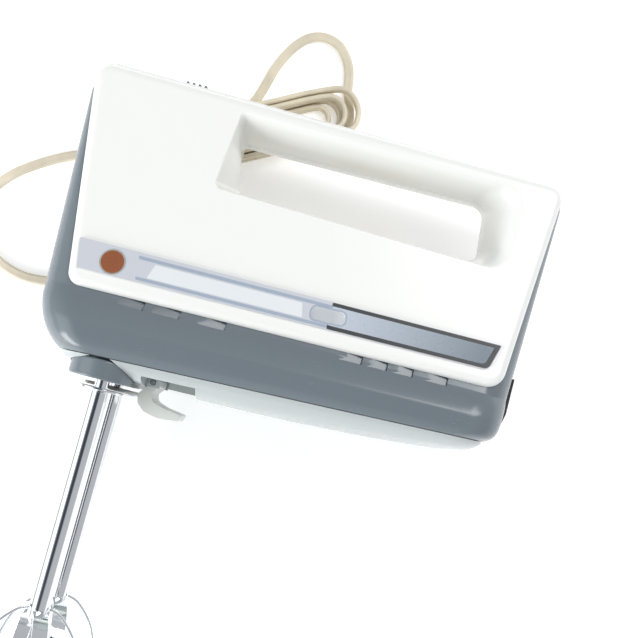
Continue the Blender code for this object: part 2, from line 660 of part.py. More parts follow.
def stator_outlines():
    """Stator plate with its window: two pole faces around the armature and room for the coils."""
    outer = rounded([(-26, -28, 5), (26, -28, 5), (26, 28, 5), (-26, 28, 5)])
    reach = math.degrees(math.asin(12.0 / 15.6))
    window = [(20.0, -12.0), (20.0, -22.0), (-20.0, -22.0), (-20.0, -12.0)]
    window += arc((0, 0), 15.6, 180 + reach, 180 - reach, 8)
    window += [(-20.0, 12.0), (-20.0, 22.0), (20.0, 22.0), (20.0, 12.0)]
    window += arc((0, 0), 15.6, reach, -reach, 8)
    return [outer, window]


def slotted_disc(slots, radius, depth, share):
    """A disc with open slots round its rim."""
    outline = []
    for index in range(slots):
        for place_in_pitch, r in ((0.0, radius), (1 - share, radius), (1 - share, radius - depth),
                                  (1.0, radius - depth)):
            angle = 2 * math.pi * (index + place_in_pitch) / slots
            outline.append((r * math.cos(angle), r * math.sin(angle)))
    return outline


def motor():
    at = (MOTOR_X, MOTOR_Y, 0)
    bore = arc((0, 0), SHAFT_RADIUS + GAP, 0, 330, 11)
    extruded("stator_core", stator_outlines(), "x", -12.5, 12.5, "steel", at)
    for word, low in (("upper", 10.8), ("lower", -19.4)):
        outer = rounded([(-21.5, -21.4, 6), (21.5, -21.4, 6), (21.5, 21.4, 6), (-21.5, 21.4, 6)])
        inner = rounded([(-13.2, -12.5, 1), (13.2, -12.5, 1), (13.2, 12.5, 1), (-13.2, 12.5, 1)], 2)
        extruded(f"field_coil_{word}", [outer, inner], "y", low, low + 8.6, "copper", at)
    extruded("armature_core", [slotted_disc(12, 14.9, 4.0, 0.3), bore], "x", -12.5, 12.5, "steel", at)
    for word, low in (("front", -20.4), ("rear", 12.8)):
        turned(f"armature_winding_{word}", "x", at,
               [(7.0, low + 7.6), (10.0, low + 5.6), (10.0, low + 2.0), (7.0, low), (SHAFT_RADIUS + GAP, low),
                (SHAFT_RADIUS + GAP, low + 7.6)], "copper", 16, hollow=True)
    extruded("commutator", [slotted_disc(12, 8.5, 0.6, 0.12), bore], "x", 22.0, 34.0, "copper", at)
    fan_disc = ring("cooling_fan", "x", at, SHAFT_RADIUS + GAP, 9.0, -36.0, -28.0, "nylon", 16)
    for index in range(9):
        blade = box(f"fan_blade_{index}", (-4.2, 8.0, -0.8), (4.2, 21.0, 0.8), None)
        turn = Matrix.Rotation(2 * math.pi * index / 9, 4, "X") @ Matrix.Rotation(math.radians(35), 4, "Y")
        blade.matrix_local = Matrix.Translation(Vector((MOTOR_X - 32.0, MOTOR_Y, 0)) * MM) @ turn
        boolean(fan_disc, blade, "UNION")
    for word, x in (("front", -1.2), ("middle", 42.8), ("rear", 129.0)):
        ring(f"bearing_{word}", "x", (x, MOTOR_Y, 0), SHAFT_RADIUS + GAP, 4.3, 0.0, 2.4, "bronze", 16)
    bracket = extruded("rear_bracket", [rounded([(-18, -24, 5), (24, -24, 5), (24, 24, 5), (-18, 24, 5)])],
                       "x", 129.0, 131.4, "steel")
    boolean(bracket, rod("bracket_hole", "x", (0, MOTOR_Y, 0), 4.6, 120.0, 140.0, None, 16))


def brushes():
    """A brass holder, carbon brush and spring on each side of the commutator."""
    x = MOTOR_X + 28.0
    for side, word in ((1, "left"), (-1, "right")):
        ends = sorted((side * 10.5, side * 25.0))
        holder = box(f"brush_holder_{word}", (x - 4.5, MOTOR_Y - 4.0, ends[0]),
                     (x + 4.5, MOTOR_Y + 4.0, ends[1]), "brass")
        boolean(holder, box(f"brush_way_{word}", (x - 3.2, MOTOR_Y - 2.8, -30.0),
                            (x + 3.2, MOTOR_Y + 2.8, 30.0), None))
        ends = sorted((side * 8.9, side * 17.0))
        box(f"carbon_brush_{word}", (x - 2.8, MOTOR_Y - 2.4, ends[0]), (x + 2.8, MOTOR_Y + 2.4, ends[1]),
            "carbon")


# Beaters --------------------------------------------------------------------------------------

def blade_outline():
    """Half of a blade loop in its own plane: (distance from the axis, y), from the shaft to the tip."""
    top = CAGE_TOP + 3.0
    low = TIP_Y + 0.55
    return [(TUBE_RADIUS + 0.4, top), (9.0, top - 1.0), (15.0, top - 6.0), (19.0, top - 13.0),
            (CAGE_RADIUS, top - 22.5), (CAGE_RADIUS - 0.4, low + 27.5), (17.4, low + 15.5),
            (12.6, low + 6.3), (8.0, low + 2.1), (4.4, low + 0.35), (0.0, low)]


def blade_loop(name, z, turn, raise_tip):
    """One chromed strip bent into a U: down one side of the cage, across the tip and up the other."""
    half = [Vector(p) for p in blade_outline()]
    strip = [(r, y + raise_tip * min(1.0, max(0.0, 1.6 - r / 8.0))) for r, y in half]
    centre = [(-r, y) for r, y in strip] + [(r, y) for r, y in reversed(strip[:-1])]
    thick, wide = 0.55, 3.2
    rings = []
    for i, point in enumerate(centre):
        before = Vector(centre[max(0, i - 1)])
        after = Vector(centre[min(len(centre) - 1, i + 1)])
        tangent = (after - before).normalized()
        normal = Vector((-tangent.y, tangent.x))
        rings.append([(point[0] + normal.x * n, point[1] + normal.y * n, w)
                      for n, w in ((thick, wide), (thick, -wide), (-thick, -wide), (-thick, wide))])
    loop = loft(name, rings, "chrome")
    loop.matrix_local = (Matrix.Translation(Vector((BEATER_X, 0, z)) * MM)
                         @ Matrix.Rotation(math.radians(turn), 4, "Y"))


def beaters():
    """Two beaters: a stepped chromed shaft, a collar for the ejector and two crossing blade loops."""
    for side, word in ((1, "left"), (-1, "right")):
        z = side * BEATER_Z
        turned(f"beater_shaft_{word}", "y", (BEATER_X, 0, z),
               [(0, 0.4), (STEM_RADIUS - 0.6, 0.0), (STEM_RADIUS, -1.2), (STEM_RADIUS, -38.9),
                (TUBE_RADIUS, -38.9), (TUBE_RADIUS, CAGE_TOP), (2.4, CAGE_TOP - 2.0), (0, CAGE_TOP - 2.0)],
               "chrome", 20)
        turned(f"beater_collar_{word}", "y", (BEATER_X, 0, z),
               [(9.4, COLLAR_TOP), (10.0, COLLAR_TOP - 0.3), (10.0, COLLAR_TOP - 1.2),
                (STEM_RADIUS + GAP, COLLAR_TOP - 1.2), (STEM_RADIUS + GAP, COLLAR_TOP)],
               "chrome", 24, hollow=True)
        first = BLADE_TURN if side > 0 else 45.0 - BLADE_TURN
        blade_loop(f"beater_loop_a_{word}", z, first, 1.9)
        blade_loop(f"beater_loop_b_{word}", z, first + 90.0, 0.0)


# Cord -----------------------------------------------------------------------------------------

def cord():
    """Strain relief, lead, hank, loop and tail of the flat mains cord, and its two-blade plug."""
    relief = rod("strain_relief", "z", (170.0, 40.0, 0), 3.9, -37.4, -27.0, "cream", 16)
    bm = bmesh.new()
    nose, root = Vector((140.0, 38.0, -38.65)), Vector((173.0, 40.2, -36.4))
    along = (nose - root).normalized()
    turn = Vector((0, 0, 1)).rotation_difference(along).to_matrix().to_4x4()
    bmesh.ops.create_cone(bm, cap_ends=True, segments=16, radius1=3.6 * MM, radius2=2.5 * MM,
                          depth=(nose - root).length * MM,
                          matrix=Matrix.Translation((nose + root) / 2 * MM) @ turn)
    boolean(relief, from_bmesh("relief_taper", bm, None), "UNION")
    tube("cord_lead", LEAD_ROUTE, CORD_RADIUS, "cream", 2, 12.0)
    tube("cord_loop", LOOP_ROUTE, CORD_RADIUS, "cream", 2, 8.0)
    tube("cord_tail", TAIL_ROUTE, CORD_RADIUS, "cream", 2, 14.0)
    extruded("cord_hank", [stadium(HANK_START, HANK_END, HANK_HALF, 10)], "z", -HALF_WIDTH,
             HANK_HEIGHT - HALF_WIDTH, "cream")
    half = 4.3
    nose = PLUG_X + 23.0
    body = rounded([(PLUG_X, PLUG_Y - 4.0, 1.5), (PLUG_X + 8.0, PLUG_Y - 9.0, 4.0),
                    (nose, PLUG_Y - 10.4, 1.5), (nose, PLUG_Y + 10.4, 1.5),
                    (PLUG_X + 8.0, PLUG_Y + 9.0, 4.0), (PLUG_X, PLUG_Y + 4.0, 1.5)])
    extruded("plug_body", [body], "z", PLUG_Z - half, PLUG_Z + half, "cream")
    for index, y in enumerate((PLUG_Y - 6.35, PLUG_Y + 6.35), 1):
        root, tip = nose + GAP, nose + 16.0
        blade = rounded([(root, PLUG_Z - 3.15, 0), (tip, PLUG_Z - 3.15, 1.2), (tip, PLUG_Z + 3.15, 1.2),
                         (root, PLUG_Z + 3.15, 0)], 2)
        extruded(f"plug_blade_{index}", [[(x, -z) for x, z in blade]], "y", y - 0.75, y + 0.75, "brass")


def build():
    start_scene()
    white_shell("left_shell", 1)
    white_shell("right_shell", -1)
    motor_housing()
    bottom_pan()
    socket_boss()
    heel_pad()
    label_strip()
    screws()
    speed_control()
    ejector()
    gear_train()
    armature_shaft()
    motor()
    brushes()
    beaters()
    cord()
    for item in parts.objects:
        if item.type == "MESH":
            item.data.shade_smooth()
            item.data.set_sharp_from_angle(angle=math.radians(35))


build()
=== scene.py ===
"""Electric hand mixer lying on its right side on a white table, with its cord wound into a hank.

Lengths are in millimetres in the mixer's own coordinates: x to the heel, y up through the handle, z
to the left side, which faces up. The origin is at the lower front corner of the white shells, on
the mid-plane. row() turns such a point into the frame's metres.
"""

import math

import bmesh
import bpy
from mathutils import Matrix, Vector


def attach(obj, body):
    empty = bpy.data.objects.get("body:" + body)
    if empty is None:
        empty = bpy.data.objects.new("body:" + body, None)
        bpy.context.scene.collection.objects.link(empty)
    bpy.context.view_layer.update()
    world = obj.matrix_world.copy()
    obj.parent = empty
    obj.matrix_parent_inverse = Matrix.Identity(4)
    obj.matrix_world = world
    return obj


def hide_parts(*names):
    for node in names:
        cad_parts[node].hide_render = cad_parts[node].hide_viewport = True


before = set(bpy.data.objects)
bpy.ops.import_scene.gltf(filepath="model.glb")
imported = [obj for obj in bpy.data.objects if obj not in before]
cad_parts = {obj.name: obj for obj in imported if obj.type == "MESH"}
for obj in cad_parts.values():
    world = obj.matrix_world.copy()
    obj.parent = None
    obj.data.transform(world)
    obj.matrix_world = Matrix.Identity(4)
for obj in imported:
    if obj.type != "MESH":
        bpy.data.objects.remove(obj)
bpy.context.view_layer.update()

MM = 0.001
OFFSET = Vector((-84.85, 46.5, 41.5))    # from mixer coordinates to the frame, in millimetres
HALF_WIDTH = 41.5
FLOOR = -HALF_WIDTH                      # the table's height in mixer coordinates
SHELL_BASE = 38.0
SHELL_TAPER = 0.147
SHELL_WALL = 2.3
SHELL_EDGE = 2.6
CROWN = 4.0
HOUSING_WALL = 2.2
BEATER_X = 20.5
BEATER_Z = 18.0

cutters = []


# Helpers --------------------------------------------------------------------------------------

def row(point):
    return (Vector(point) + OFFSET) * MM


def arc(centre, radius, start, end, steps):
    angles = [math.radians(start + (end - start) * i / steps) for i in range(steps + 1)]
    return [(centre[0] + radius * math.cos(a), centre[1] + radius * math.sin(a)) for a in angles]


def rounded(corners, steps=10):
    """A closed outline from (x, y, radius) corners, each corner replaced by a tangent arc."""
    outline = []
    count = len(corners)
    for i, (x, y, radius) in enumerate(corners):
        here = Vector((x, y))
        back = (Vector(corners[i - 1][:2]) - here).normalized()
        ahead = (Vector(corners[(i + 1) % count][:2]) - here).normalized()
        if radius <= 0:
            outline.append((x, y))
            continue
        half = back.angle(ahead) / 2
        centre = here + (back + ahead).normalized() * (radius / math.sin(half))
        first = here + back * (radius / math.tan(half)) - centre
        last = here + ahead * (radius / math.tan(half)) - centre
        sweep = first.angle_signed(last)
        for k in range(steps + 1):
            turn = Matrix.Rotation(-sweep * k / steps, 2)
            outline.append(tuple(centre + turn @ first))
    return outline


def inset_outline(outline, inset):
    """The same outline drawn inwards by an inset, point by point along its inward normals."""
    count = len(outline)
    moved = []
    for i, (x, y) in enumerate(outline):
        tangent = Vector(outline[(i + 1) % count]) - Vector(outline[i - 1])
        inward = Vector((-tangent.y, tangent.x)).normalized()
        moved.append((x + inward.x * inset, y + inward.y * inset))
    return moved


def spline_points(knots, spacing):
    """Points about a spacing apart on the Catmull-Rom curve through the knots."""
    knots = [Vector(p) for p in knots]
    ends = [2 * knots[0] - knots[1], *knots, 2 * knots[-1] - knots[-2]]
    points = [knots[0]]
    for a, b, c, d in zip(ends, ends[1:], ends[2:], ends[3:]):
        count = max(1, round((c - b).length / spacing))
        for i in range(1, count + 1):
            t = i / count
            points.append(0.5 * (2 * b + (c - a) * t + (2 * a - 5 * b + 4 * c - d) * t * t
                                 + (3 * b - a - 3 * c + d) * t ** 3))
    return points


def loft_mesh(name, rings, mirror_caps=False, closed=False):
    """A mesh through rings of equal length, capped at both ends, or closed into a ring of rings."""
    bm = bmesh.new()
    rows = [[bm.verts.new(row(p)) for p in points] for points in rings]
    count = len(rows[0])
    pairs = list(zip(rows, rows[1:]))
    if closed:
        pairs.append((rows[-1], rows[0]))
    for lower, upper in pairs:
        for i in range(count):
            j = (i + 1) % count
            bm.faces.new((lower[i], lower[j], upper[j], upper[i]))
    for end in () if closed else (rows[0], rows[-1]):
        if mirror_caps:
            for i in range(count // 2 - 1):
                bm.faces.new((end[i], end[i + 1], end[count - 2 - i], end[count - 1 - i]))
        else:
            bm.faces.new(end)
    bmesh.ops.recalc_face_normals(bm, faces=bm.faces)
    mesh = bpy.data.meshes.new(name)
    bm.to_mesh(mesh)
    bm.free()
    return mesh


def new_object(name, mesh):
    item = bpy.data.objects.new(name, mesh)
    bpy.context.scene.collection.objects.link(item)
    return item


def loft(name, rings, mirror_caps=False, closed=False):
    return new_object(name, loft_mesh(name, rings, mirror_caps, closed))


def turned(name, axis, at, profile, steps=48):
    """A lathe shape about an axis through at. The profile's (radius, height) points form a closed
    loop, or run from the axis back to the axis."""
    directions = {"x": ((0, 1, 0), (0, 0, 1), (1, 0, 0)), "y": ((1, 0, 0), (0, 0, -1), (0, 1, 0)),
                  "z": ((1, 0, 0), (0, 1, 0), (0, 0, 1))}
    u, v, w = (Vector(d) for d in directions[axis])
    on_axis = profile[0][0] == 0 and profile[-1][0] == 0
    body = profile[1:-1] if on_axis else profile
    rings = []
    for radius, height in body:
        rings.append([Vector(at) + w * height + (u * math.cos(a) + v * math.sin(a)) * radius
                      for a in (2 * math.pi * k / steps for k in range(steps))])
    return loft(name, rings, closed=not on_axis)


def extruded(name, outline, axis, low, high, bevel=0.0, segments=3):
    """A flat outline extruded along an axis, its edges rounded by a Bevel modifier."""
    place = {"x": lambda a, b, h: (h, a, b), "y": lambda a, b, h: (a, h, b), "z": lambda a, b, h: (a, b, h)}
    rings = [[place[axis](a, b, h) for a, b in outline] for h in (low, high)]
    item = loft(name, rings)
    if bevel:
        round_edges(item, bevel, segments)
    return item


def box(name, low, high, bevel=0.0, segments=3):
    outline = [(low[0], low[1]), (high[0], low[1]), (high[0], high[1]), (low[0], high[1])]
    return extruded(name, outline, "z", low[2], high[2], bevel, segments)


def round_edges(item, width, segments=3, angle=35):
    step = item.modifiers.new("round", "BEVEL")
    step.width = width * MM
    step.segments = segments
    step.limit_method = "ANGLE"
    step.angle_limit = math.radians(angle)
    step.use_clamp_overlap = True


def boolean(item, cutter, operation="DIFFERENCE"):
    step = item.modifiers.new(cutter.name, "BOOLEAN")
    step.operation = operation
    step.object = cutter
    step.solver = "EXACT"
    cutters.append(cutter)


def freeze(item):
    """Applies all modifiers and removes the cutters that they used."""
    bpy.context.view_layer.update()
    mesh = bpy.data.meshes.new_from_object(item.evaluated_get(bpy.context.evaluated_depsgraph_get()))
    item.modifiers.clear()
    item.data = mesh
    while cutters:
        bpy.data.objects.remove(cutters.pop())


def finish(item, material, body, nodes=(), angle=30, weighted=True):
    """Shades a piece, gives it its material, ties it to its body and hides the CAD nodes that it replaces.
    """
    item.data.shade_smooth()
    item.data.set_sharp_from_angle(angle=math.radians(angle))
    if weighted:
        step = item.modifiers.new("normals", "WEIGHTED_NORMAL")
        step.keep_sharp = True
        step.weight = 90
    item.data.materials.clear()
    item.data.materials.append(material)
    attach(item, body)
    if nodes:
        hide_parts(*nodes)
    return item


# Materials ------------------------------------------------------------------------------------

class Surface:
    """A node material in the making: a Principled shader and object coordinates to drive it."""

    def __init__(self, name, colour, roughness, metallic=0.0):
        self.material = bpy.data.materials.new(name)
        self.material.use_nodes = True
        self.nodes = self.material.node_tree.nodes
        self.links = self.material.node_tree.links
        self.shader = self.nodes["Principled BSDF"]
        self.shader.inputs["Base Color"].default_value = (*colour, 1)
        self.shader.inputs["Roughness"].default_value = roughness
        self.shader.inputs["Metallic"].default_value = metallic
        self.colour = colour
        self.place = self.add("ShaderNodeTexCoord").outputs["Object"]

    def add(self, kind, **settings):
        node = self.nodes.new(kind)
        for key, value in settings.items():
            setattr(node, key, value)
        return node

    def noise(self, scale, detail=3.0, stretch=None):
        """Noise of a grain in millimetres, stretched along an axis if asked."""
        texture = self.add("ShaderNodeTexNoise")
        texture.inputs["Scale"].default_value = 1000.0 / scale
        texture.inputs["Detail"].default_value = detail
        source = self.place
        if stretch:
            mapping = self.add("ShaderNodeMapping")
            mapping.inputs["Scale"].default_value = stretch
            self.links.new(self.place, mapping.inputs["Vector"])
            source = mapping.outputs["Vector"]
        self.links.new(source, texture.inputs["Vector"])
        return texture.outputs["Fac"]

    def spread(self, factor, low, high, to_low=0.0, to_high=1.0):
        """Maps a factor's range to another, clamped."""
        node = self.add("ShaderNodeMapRange")
        for name, value in (("From Min", low), ("From Max", high), ("To Min", to_low), ("To Max", to_high)):
            node.inputs[name].default_value = value
        self.links.new(factor, node.inputs["Value"])
        return node.outputs["Result"]

    def mix(self, factor, first, second):
        """A colour between two others, each a colour or a socket."""
        node = self.add("ShaderNodeMix", data_type="RGBA")
        for index, value in ((6, first), (7, second)):
            if isinstance(value, tuple):
                node.inputs[index].default_value = (*value, 1)
            else:
                self.links.new(value, node.inputs[index])
        self.links.new(factor, node.inputs[0])
        return node.outputs[2]

    def paint(self, socket):
        self.links.new(socket, self.shader.inputs["Base Color"])

    def gloss(self, socket):
        self.links.new(socket, self.shader.inputs["Roughness"])

    def bump(self, socket, depth):
        """Relief of a depth in millimetres; several calls add up."""
        node = self.add("ShaderNodeBump")
        node.inputs["Strength"].default_value = 1.0
        node.inputs["Distance"].default_value = depth * MM
        self.links.new(socket, node.inputs["Height"])
        before = self.shader.inputs["Normal"].links
        if before:
            self.links.new(before[0].from_socket, node.inputs["Normal"])
        self.links.new(node.outputs["Normal"], self.shader.inputs["Normal"])


def shade(colour, amount):
    return tuple(min(1.0, c * amount) for c in colour)


def plastic(name, colour, roughness, scuffs=0.0, age=(1.0, 0.97, 0.90)):
    """Glossy moulded plastic: slow colour drift with age, faint moulding waviness and fine scuffs."""
    s = Surface(name, colour, roughness)
    aged = tuple(c * a for c, a in zip(colour, age))
    tone = s.mix(s.spread(s.noise(70.0), 0.3, 0.8, 0.0, 0.25), colour, aged)
    if scuffs:
        scratch = s.spread(s.noise(2.4, 5.0, (1.0, 9.0, 1.0)), 0.64, 0.72)
        area = s.spread(s.noise(22.0, 2.0), 0.56, 0.66, 0.0, scuffs)
        masked = s.add("ShaderNodeMath", operation="MULTIPLY")
        s.links.new(scratch, masked.inputs[0])
        s.links.new(area, masked.inputs[1])
        tone = s.mix(masked.outputs[0], tone, shade(colour, 1.9))
    s.paint(tone)
    s.gloss(s.spread(s.noise(18.0, 2.0), 0.3, 0.75, roughness * 0.93, roughness * 1.1))
    s.bump(s.noise(26.0, 1.0), 0.012)
    s.bump(s.noise(0.6, 3.0), 0.001)
    return s.material


def metal(name, colour, roughness, grain=None, stain=0.96):
    """Plated or plain metal with faint smears in its gloss, brushed where a grain is given."""
    s = Surface(name, colour, roughness, 1.0)
    s.paint(s.mix(s.spread(s.noise(12.0), 0.45, 0.8), colour, shade(colour, stain)))
    s.gloss(s.spread(s.noise(9.0, 2.0), 0.3, 0.8, roughness * 0.92, roughness * 1.15))
    if grain:
        s.bump(s.noise(0.8, 3.0, grain), 0.01)
    return s.material


def matt(name, colour, roughness, grain=1.0, depth=0.02):
    """A dull moulded or pressed surface with a fine grain."""
    s = Surface(name, colour, roughness)
    s.paint(s.mix(s.spread(s.noise(15.0), 0.4, 0.7), colour, shade(colour, 0.82)))
    s.gloss(s.spread(s.noise(4.0), 0.3, 0.7, roughness * 0.85, min(1.0, roughness * 1.2)))
    s.bump(s.noise(grain, 3.0), depth)
    return s.material


def wound_copper(name):
    """Enamelled wire laid side by side: fine ribs, with painted shade in the grooves and a painted highlight
    on the crests.
    """
    s = Surface(name, (0.45, 0.17, 0.07), 0.28, 1.0)
    wave = s.add("ShaderNodeTexWave", wave_type="BANDS", bands_direction="DIAGONAL")
    wave.inputs["Scale"].default_value = 1000.0 / 3.0
    wave.inputs["Distortion"].default_value = 1.5
    s.links.new(s.place, wave.inputs["Vector"])
    # The colour follows the ribs' relief: darker in the grooves as painted shade, lighter on the crests as
    # painted highlight.
    s.paint(s.mix(wave.outputs["Fac"], (0.22, 0.07, 0.03), (0.58, 0.24, 0.10)))
    s.bump(wave.outputs["Fac"], 0.15)
    return s.material


WHITE = (0.86, 0.865, 0.84)
GREY = (0.152, 0.182, 0.202)
PALE = (0.44, 0.475, 0.475)

looks = {
    "white": plastic("white_plastic", WHITE, 0.22),
    "lever": plastic("lever_plastic", (0.74, 0.76, 0.72), 0.30),
    "grey": plastic("grey_plastic", GREY, 0.20, 0.5, (0.94, 0.98, 1.02)),
    "pale": plastic("pale_plastic", PALE, 0.24, 0.0, (0.98, 1.0, 0.97)),
    "chrome": metal("chrome", (0.78, 0.80, 0.82), 0.07),
    "steel": metal("steel", (0.50, 0.51, 0.53), 0.32, (1.0, 6.0, 1.0)),
    "laminated": metal("laminated_steel", (0.30, 0.30, 0.32), 0.42, (22.0, 1.0, 1.0)),
    "bronze": metal("bronze", (0.36, 0.22, 0.11), 0.42),
    "brass": metal("brass", (0.68, 0.50, 0.22), 0.28),
    "copper": wound_copper("enamelled_copper"),
    "rubber": matt("black_rubber", (0.022, 0.022, 0.024), 0.55),
    "nylon": matt("nylon", (0.62, 0.58, 0.46), 0.45),
    "cord": matt("cord_vinyl", (0.80, 0.72, 0.56), 0.42, 2.0, 0.03),
    "switch": matt("switch_moulding", (0.03, 0.03, 0.032), 0.45),
    "carbon": matt("pressed_carbon", (0.035, 0.035, 0.037), 0.65, 0.5),
}


# Camera and light -----------------------------------------------------------------------------

CAMERA_AT = (104.5, -28.8, 486.5)
CAMERA_AIM = (100.81, 15.4, 0.0)
CAMERA_UP = (-0.25646, 0.96241, 0.08941)
CAMERA_LENS = 63.3


def camera():
    data = bpy.data.cameras.new("camera")
    data.lens = CAMERA_LENS
    data.sensor_width = 36.0
    data.clip_start = 0.01
    eye = bpy.data.objects.new("camera", data)
    bpy.context.scene.collection.objects.link(eye)
    eye.location = row(CAMERA_AT)
    back = (row(CAMERA_AT) - row(CAMERA_AIM)).normalized()
    right = Vector(CAMERA_UP).cross(back).normalized()
    up = back.cross(right)
    eye.rotation_mode = "QUATERNION"
    eye.rotation_quaternion = Matrix((right, up, back)).transposed().to_quaternion()
    bpy.context.scene.camera = eye


def area_light(name, at, aim, size, power, colour=(1.0, 1.0, 1.0)):
    data = bpy.data.lights.new(name, "AREA")
    data.shape = "RECTANGLE"
    data.size, data.size_y = size
    data.energy = power
    data.color = colour
    lamp = bpy.data.objects.new(name, data)
    bpy.context.scene.collection.objects.link(lamp)
    lamp.location = Vector(at)
    lamp.rotation_euler = (Vector(aim) - Vector(at)).to_track_quat("-Z", "Y").to_euler()


def surroundings():
    """A white room whose light falls off towards a darker ceiling, with a soft key light from the rear,
    a weaker fill light and a light low at the front that glints on the nose."""
    world = bpy.data.worlds.new("studio")
    bpy.context.scene.world = world
    world.use_nodes = True
    nodes, links = world.node_tree.nodes, world.node_tree.links
    place = nodes.new("ShaderNodeTexCoord")
    split = nodes.new("ShaderNodeSeparateXYZ")
    ramp = nodes.new("ShaderNodeValToRGB")
    links.new(place.outputs["Generated"], split.inputs[0])
    links.new(split.outputs["Z"], ramp.inputs["Fac"])
    links.new(ramp.outputs["Color"], nodes["Background"].inputs["Color"])
    ramp.color_ramp.elements[0].position = 0.0
    ramp.color_ramp.elements[0].color = (0.95, 0.97, 1.0, 1)
    ramp.color_ramp.elements[1].position = 0.90
    ramp.color_ramp.elements[1].color = (0.92, 0.94, 0.97, 1)
    dark = ramp.color_ramp.elements.new(0.975)
    dark.color = (0.10, 0.12, 0.15, 1)
    nodes["Background"].inputs["Strength"].default_value = 0.60
    area_light("key", (0.55, 0.75, 1.15), (0.0, 0.02, 0.03), (0.7, 0.7), 9.5)
    area_light("fill", (-0.9, -0.3, 0.8), (0.0, 0.0, 0.03), (0.9, 0.9), 3.0)
    area_light("front", (-0.66, -0.62, 0.36), (-0.08, 0.0, 0.03), (0.5, 0.5), 7.0)
    scene = bpy.context.scene
    scene.view_settings.view_transform = "Standard"
    scene.view_settings.look = "None"


def table():
    """A plain white table top that glows a little, so that it stays white in the part's shade."""
    mesh = bpy.data.meshes.new("table")
    half = 3.0
    corners = [(-half, -half, 0), (half, -half, 0), (half, half, 0), (-half, half, 0)]
    mesh.from_pydata(corners, [], [(0, 1, 2, 3)])
    item = new_object("table", mesh)
    s = Surface("table_white", (0.93, 0.93, 0.93), 0.6)
    s.shader.inputs["Emission Color"].default_value = (1.0, 1.0, 1.0, 1)
    s.shader.inputs["Emission Strength"].default_value = 0.32
    s.bump(s.noise(3.0), 0.01)
    mesh.materials.append(s.material)


# Cord -----------------------------------------------------------------------------------------

CORD_WIDE = 4.6                # a two-core flat cord: width over both cores
CORD_THICK = 2.6
FLAT_Z = FLOOR + CORD_THICK / 2 + 0.3
LEAD_ROUTE = [
    (139.6, 38.0, -38.7), (124.0, 37.0, -39.3), (100.0, 36.0, FLAT_Z), (60.0, 32.5, FLAT_Z),
    (22.0, 24.0, FLAT_Z), (-4.0, 12.5, FLAT_Z), (-20.0, 5.5, FLAT_Z), (-32.0, 2.8, FLAT_Z),
    (-43.0, 3.2, FLAT_Z), (-54.0, 7.5, FLAT_Z), (-63.0, 15.5, FLAT_Z), (-67.5, 26.0, FLAT_Z),
    (-65.5, 37.5, FLAT_Z), (-57.0, 48.5, FLAT_Z), (-44.0, 58.0, FLAT_Z), (-31.0, 64.6, FLAT_Z),
    (-20.0, 67.0, FLAT_Z), (-9.0, 65.4, FLAT_Z), (2.0, 62.4, FLAT_Z),
]
LOOP_ROUTE = [
    (88.6, 119.6, FLAT_Z), (85.4, 128.0, FLAT_Z), (84.2, 134.6, FLAT_Z), (81.8, 141.6, FLAT_Z),
    (75.8, 148.6, FLAT_Z), (67.6, 150.8, FLAT_Z), (60.0, 148.0, FLAT_Z), (53.8, 140.6, FLAT_Z),
    (49.0, 130.0, FLAT_Z), (46.0, 118.5, FLAT_Z), (42.0, 108.6, FLAT_Z), (33.0, 101.0, FLAT_Z),
]
TAIL_ROUTE = [
    (-6.0, 60.0, -36.5), (-1.5, 55.2, -38.6), (8.0, 51.4, FLAT_Z), (28.0, 49.8, FLAT_Z),
    (50.0, 51.0, FLAT_Z), (68.0, 52.6, -38.8), (78.0, 53.0, -37.3), (89.0, 53.0, -36.9),
]
HANK_START = Vector((2.0, 72.0))
HANK_END = Vector((78.0, 113.0))
EDGE_LOW = FLOOR + CORD_WIDE / 2 + 0.1
EDGE_HIGH = EDGE_LOW + CORD_WIDE + 0.2
# One row for each turn: radius, reach of the far end along the hank, and height
TURNS = [(11.4, 0.0, EDGE_LOW), (8.5, -1.5, EDGE_LOW), (5.6, -4.0, EDGE_LOW), (8.4, 1.0, EDGE_HIGH),
         (11.4, 4.5, EDGE_HIGH)]


def hank_point(along, across, height):
    axis = (HANK_END - HANK_START).normalized()
    side = Vector((-axis.y, axis.x))
    at = HANK_START + axis * along + side * across
    return Vector((at.x, at.y, height))


def cord_line():
    """The cord's centreline from the strain relief to the plug, with a roll in degrees at each point:
    0 where the cord lies flat, and upright in the hank."""
    length = (HANK_END - HANK_START).length
    knots = [(Vector(p), 0.0) for p in LEAD_ROUTE]
    for index, (radius, reach, height) in enumerate(TURNS):
        following = TURNS[min(index + 1, len(TURNS) - 1)]
        for share in (0.12, 0.3, 0.5, 0.7, 0.88) if index == 0 else (0.05, 0.2, 0.4, 0.6, 0.8, 0.95):
            knots.append((hank_point(length * share, -radius, height), 82.0))
        if index == 0:
            knots += [(hank_point(length + 7.5, -9.0, height), 60.0)]
            knots += [(Vector(p), 0.0) for p in LOOP_ROUTE]
            shares = (0.3, 0.15)
        else:
            for angle in (-60, -20, 20, 60):
                a = math.radians(angle)
                knots.append((hank_point(length + reach + radius * math.cos(a), radius * math.sin(a),
                                         height), 82.0))
            shares = (0.95, 0.8, 0.6, 0.4, 0.2, 0.05)
        for share in shares:
            knots.append((hank_point(length * share, radius, height), 82.0))
        if index == len(TURNS) - 1:
            break
        for step, angle in enumerate((120, 160, 200, 240), 1):
            t = step / 5
            a = math.radians(angle)
            ease = radius + (following[0] - radius) * t
            rise = height + (following[2] - height) * t
            knots.append((hank_point(ease * math.cos(a), ease * math.sin(a), rise), 82.0))
    last = TURNS[-1]
    for angle in (120, 155):
        a = math.radians(angle)
        knots.append((hank_point(last[0] * math.cos(a), last[0] * math.sin(a), last[2] - (angle - 100) / 25),
                      60.0))
    knots += [(Vector(p), 0.0) for p in TAIL_ROUTE]
    return knots


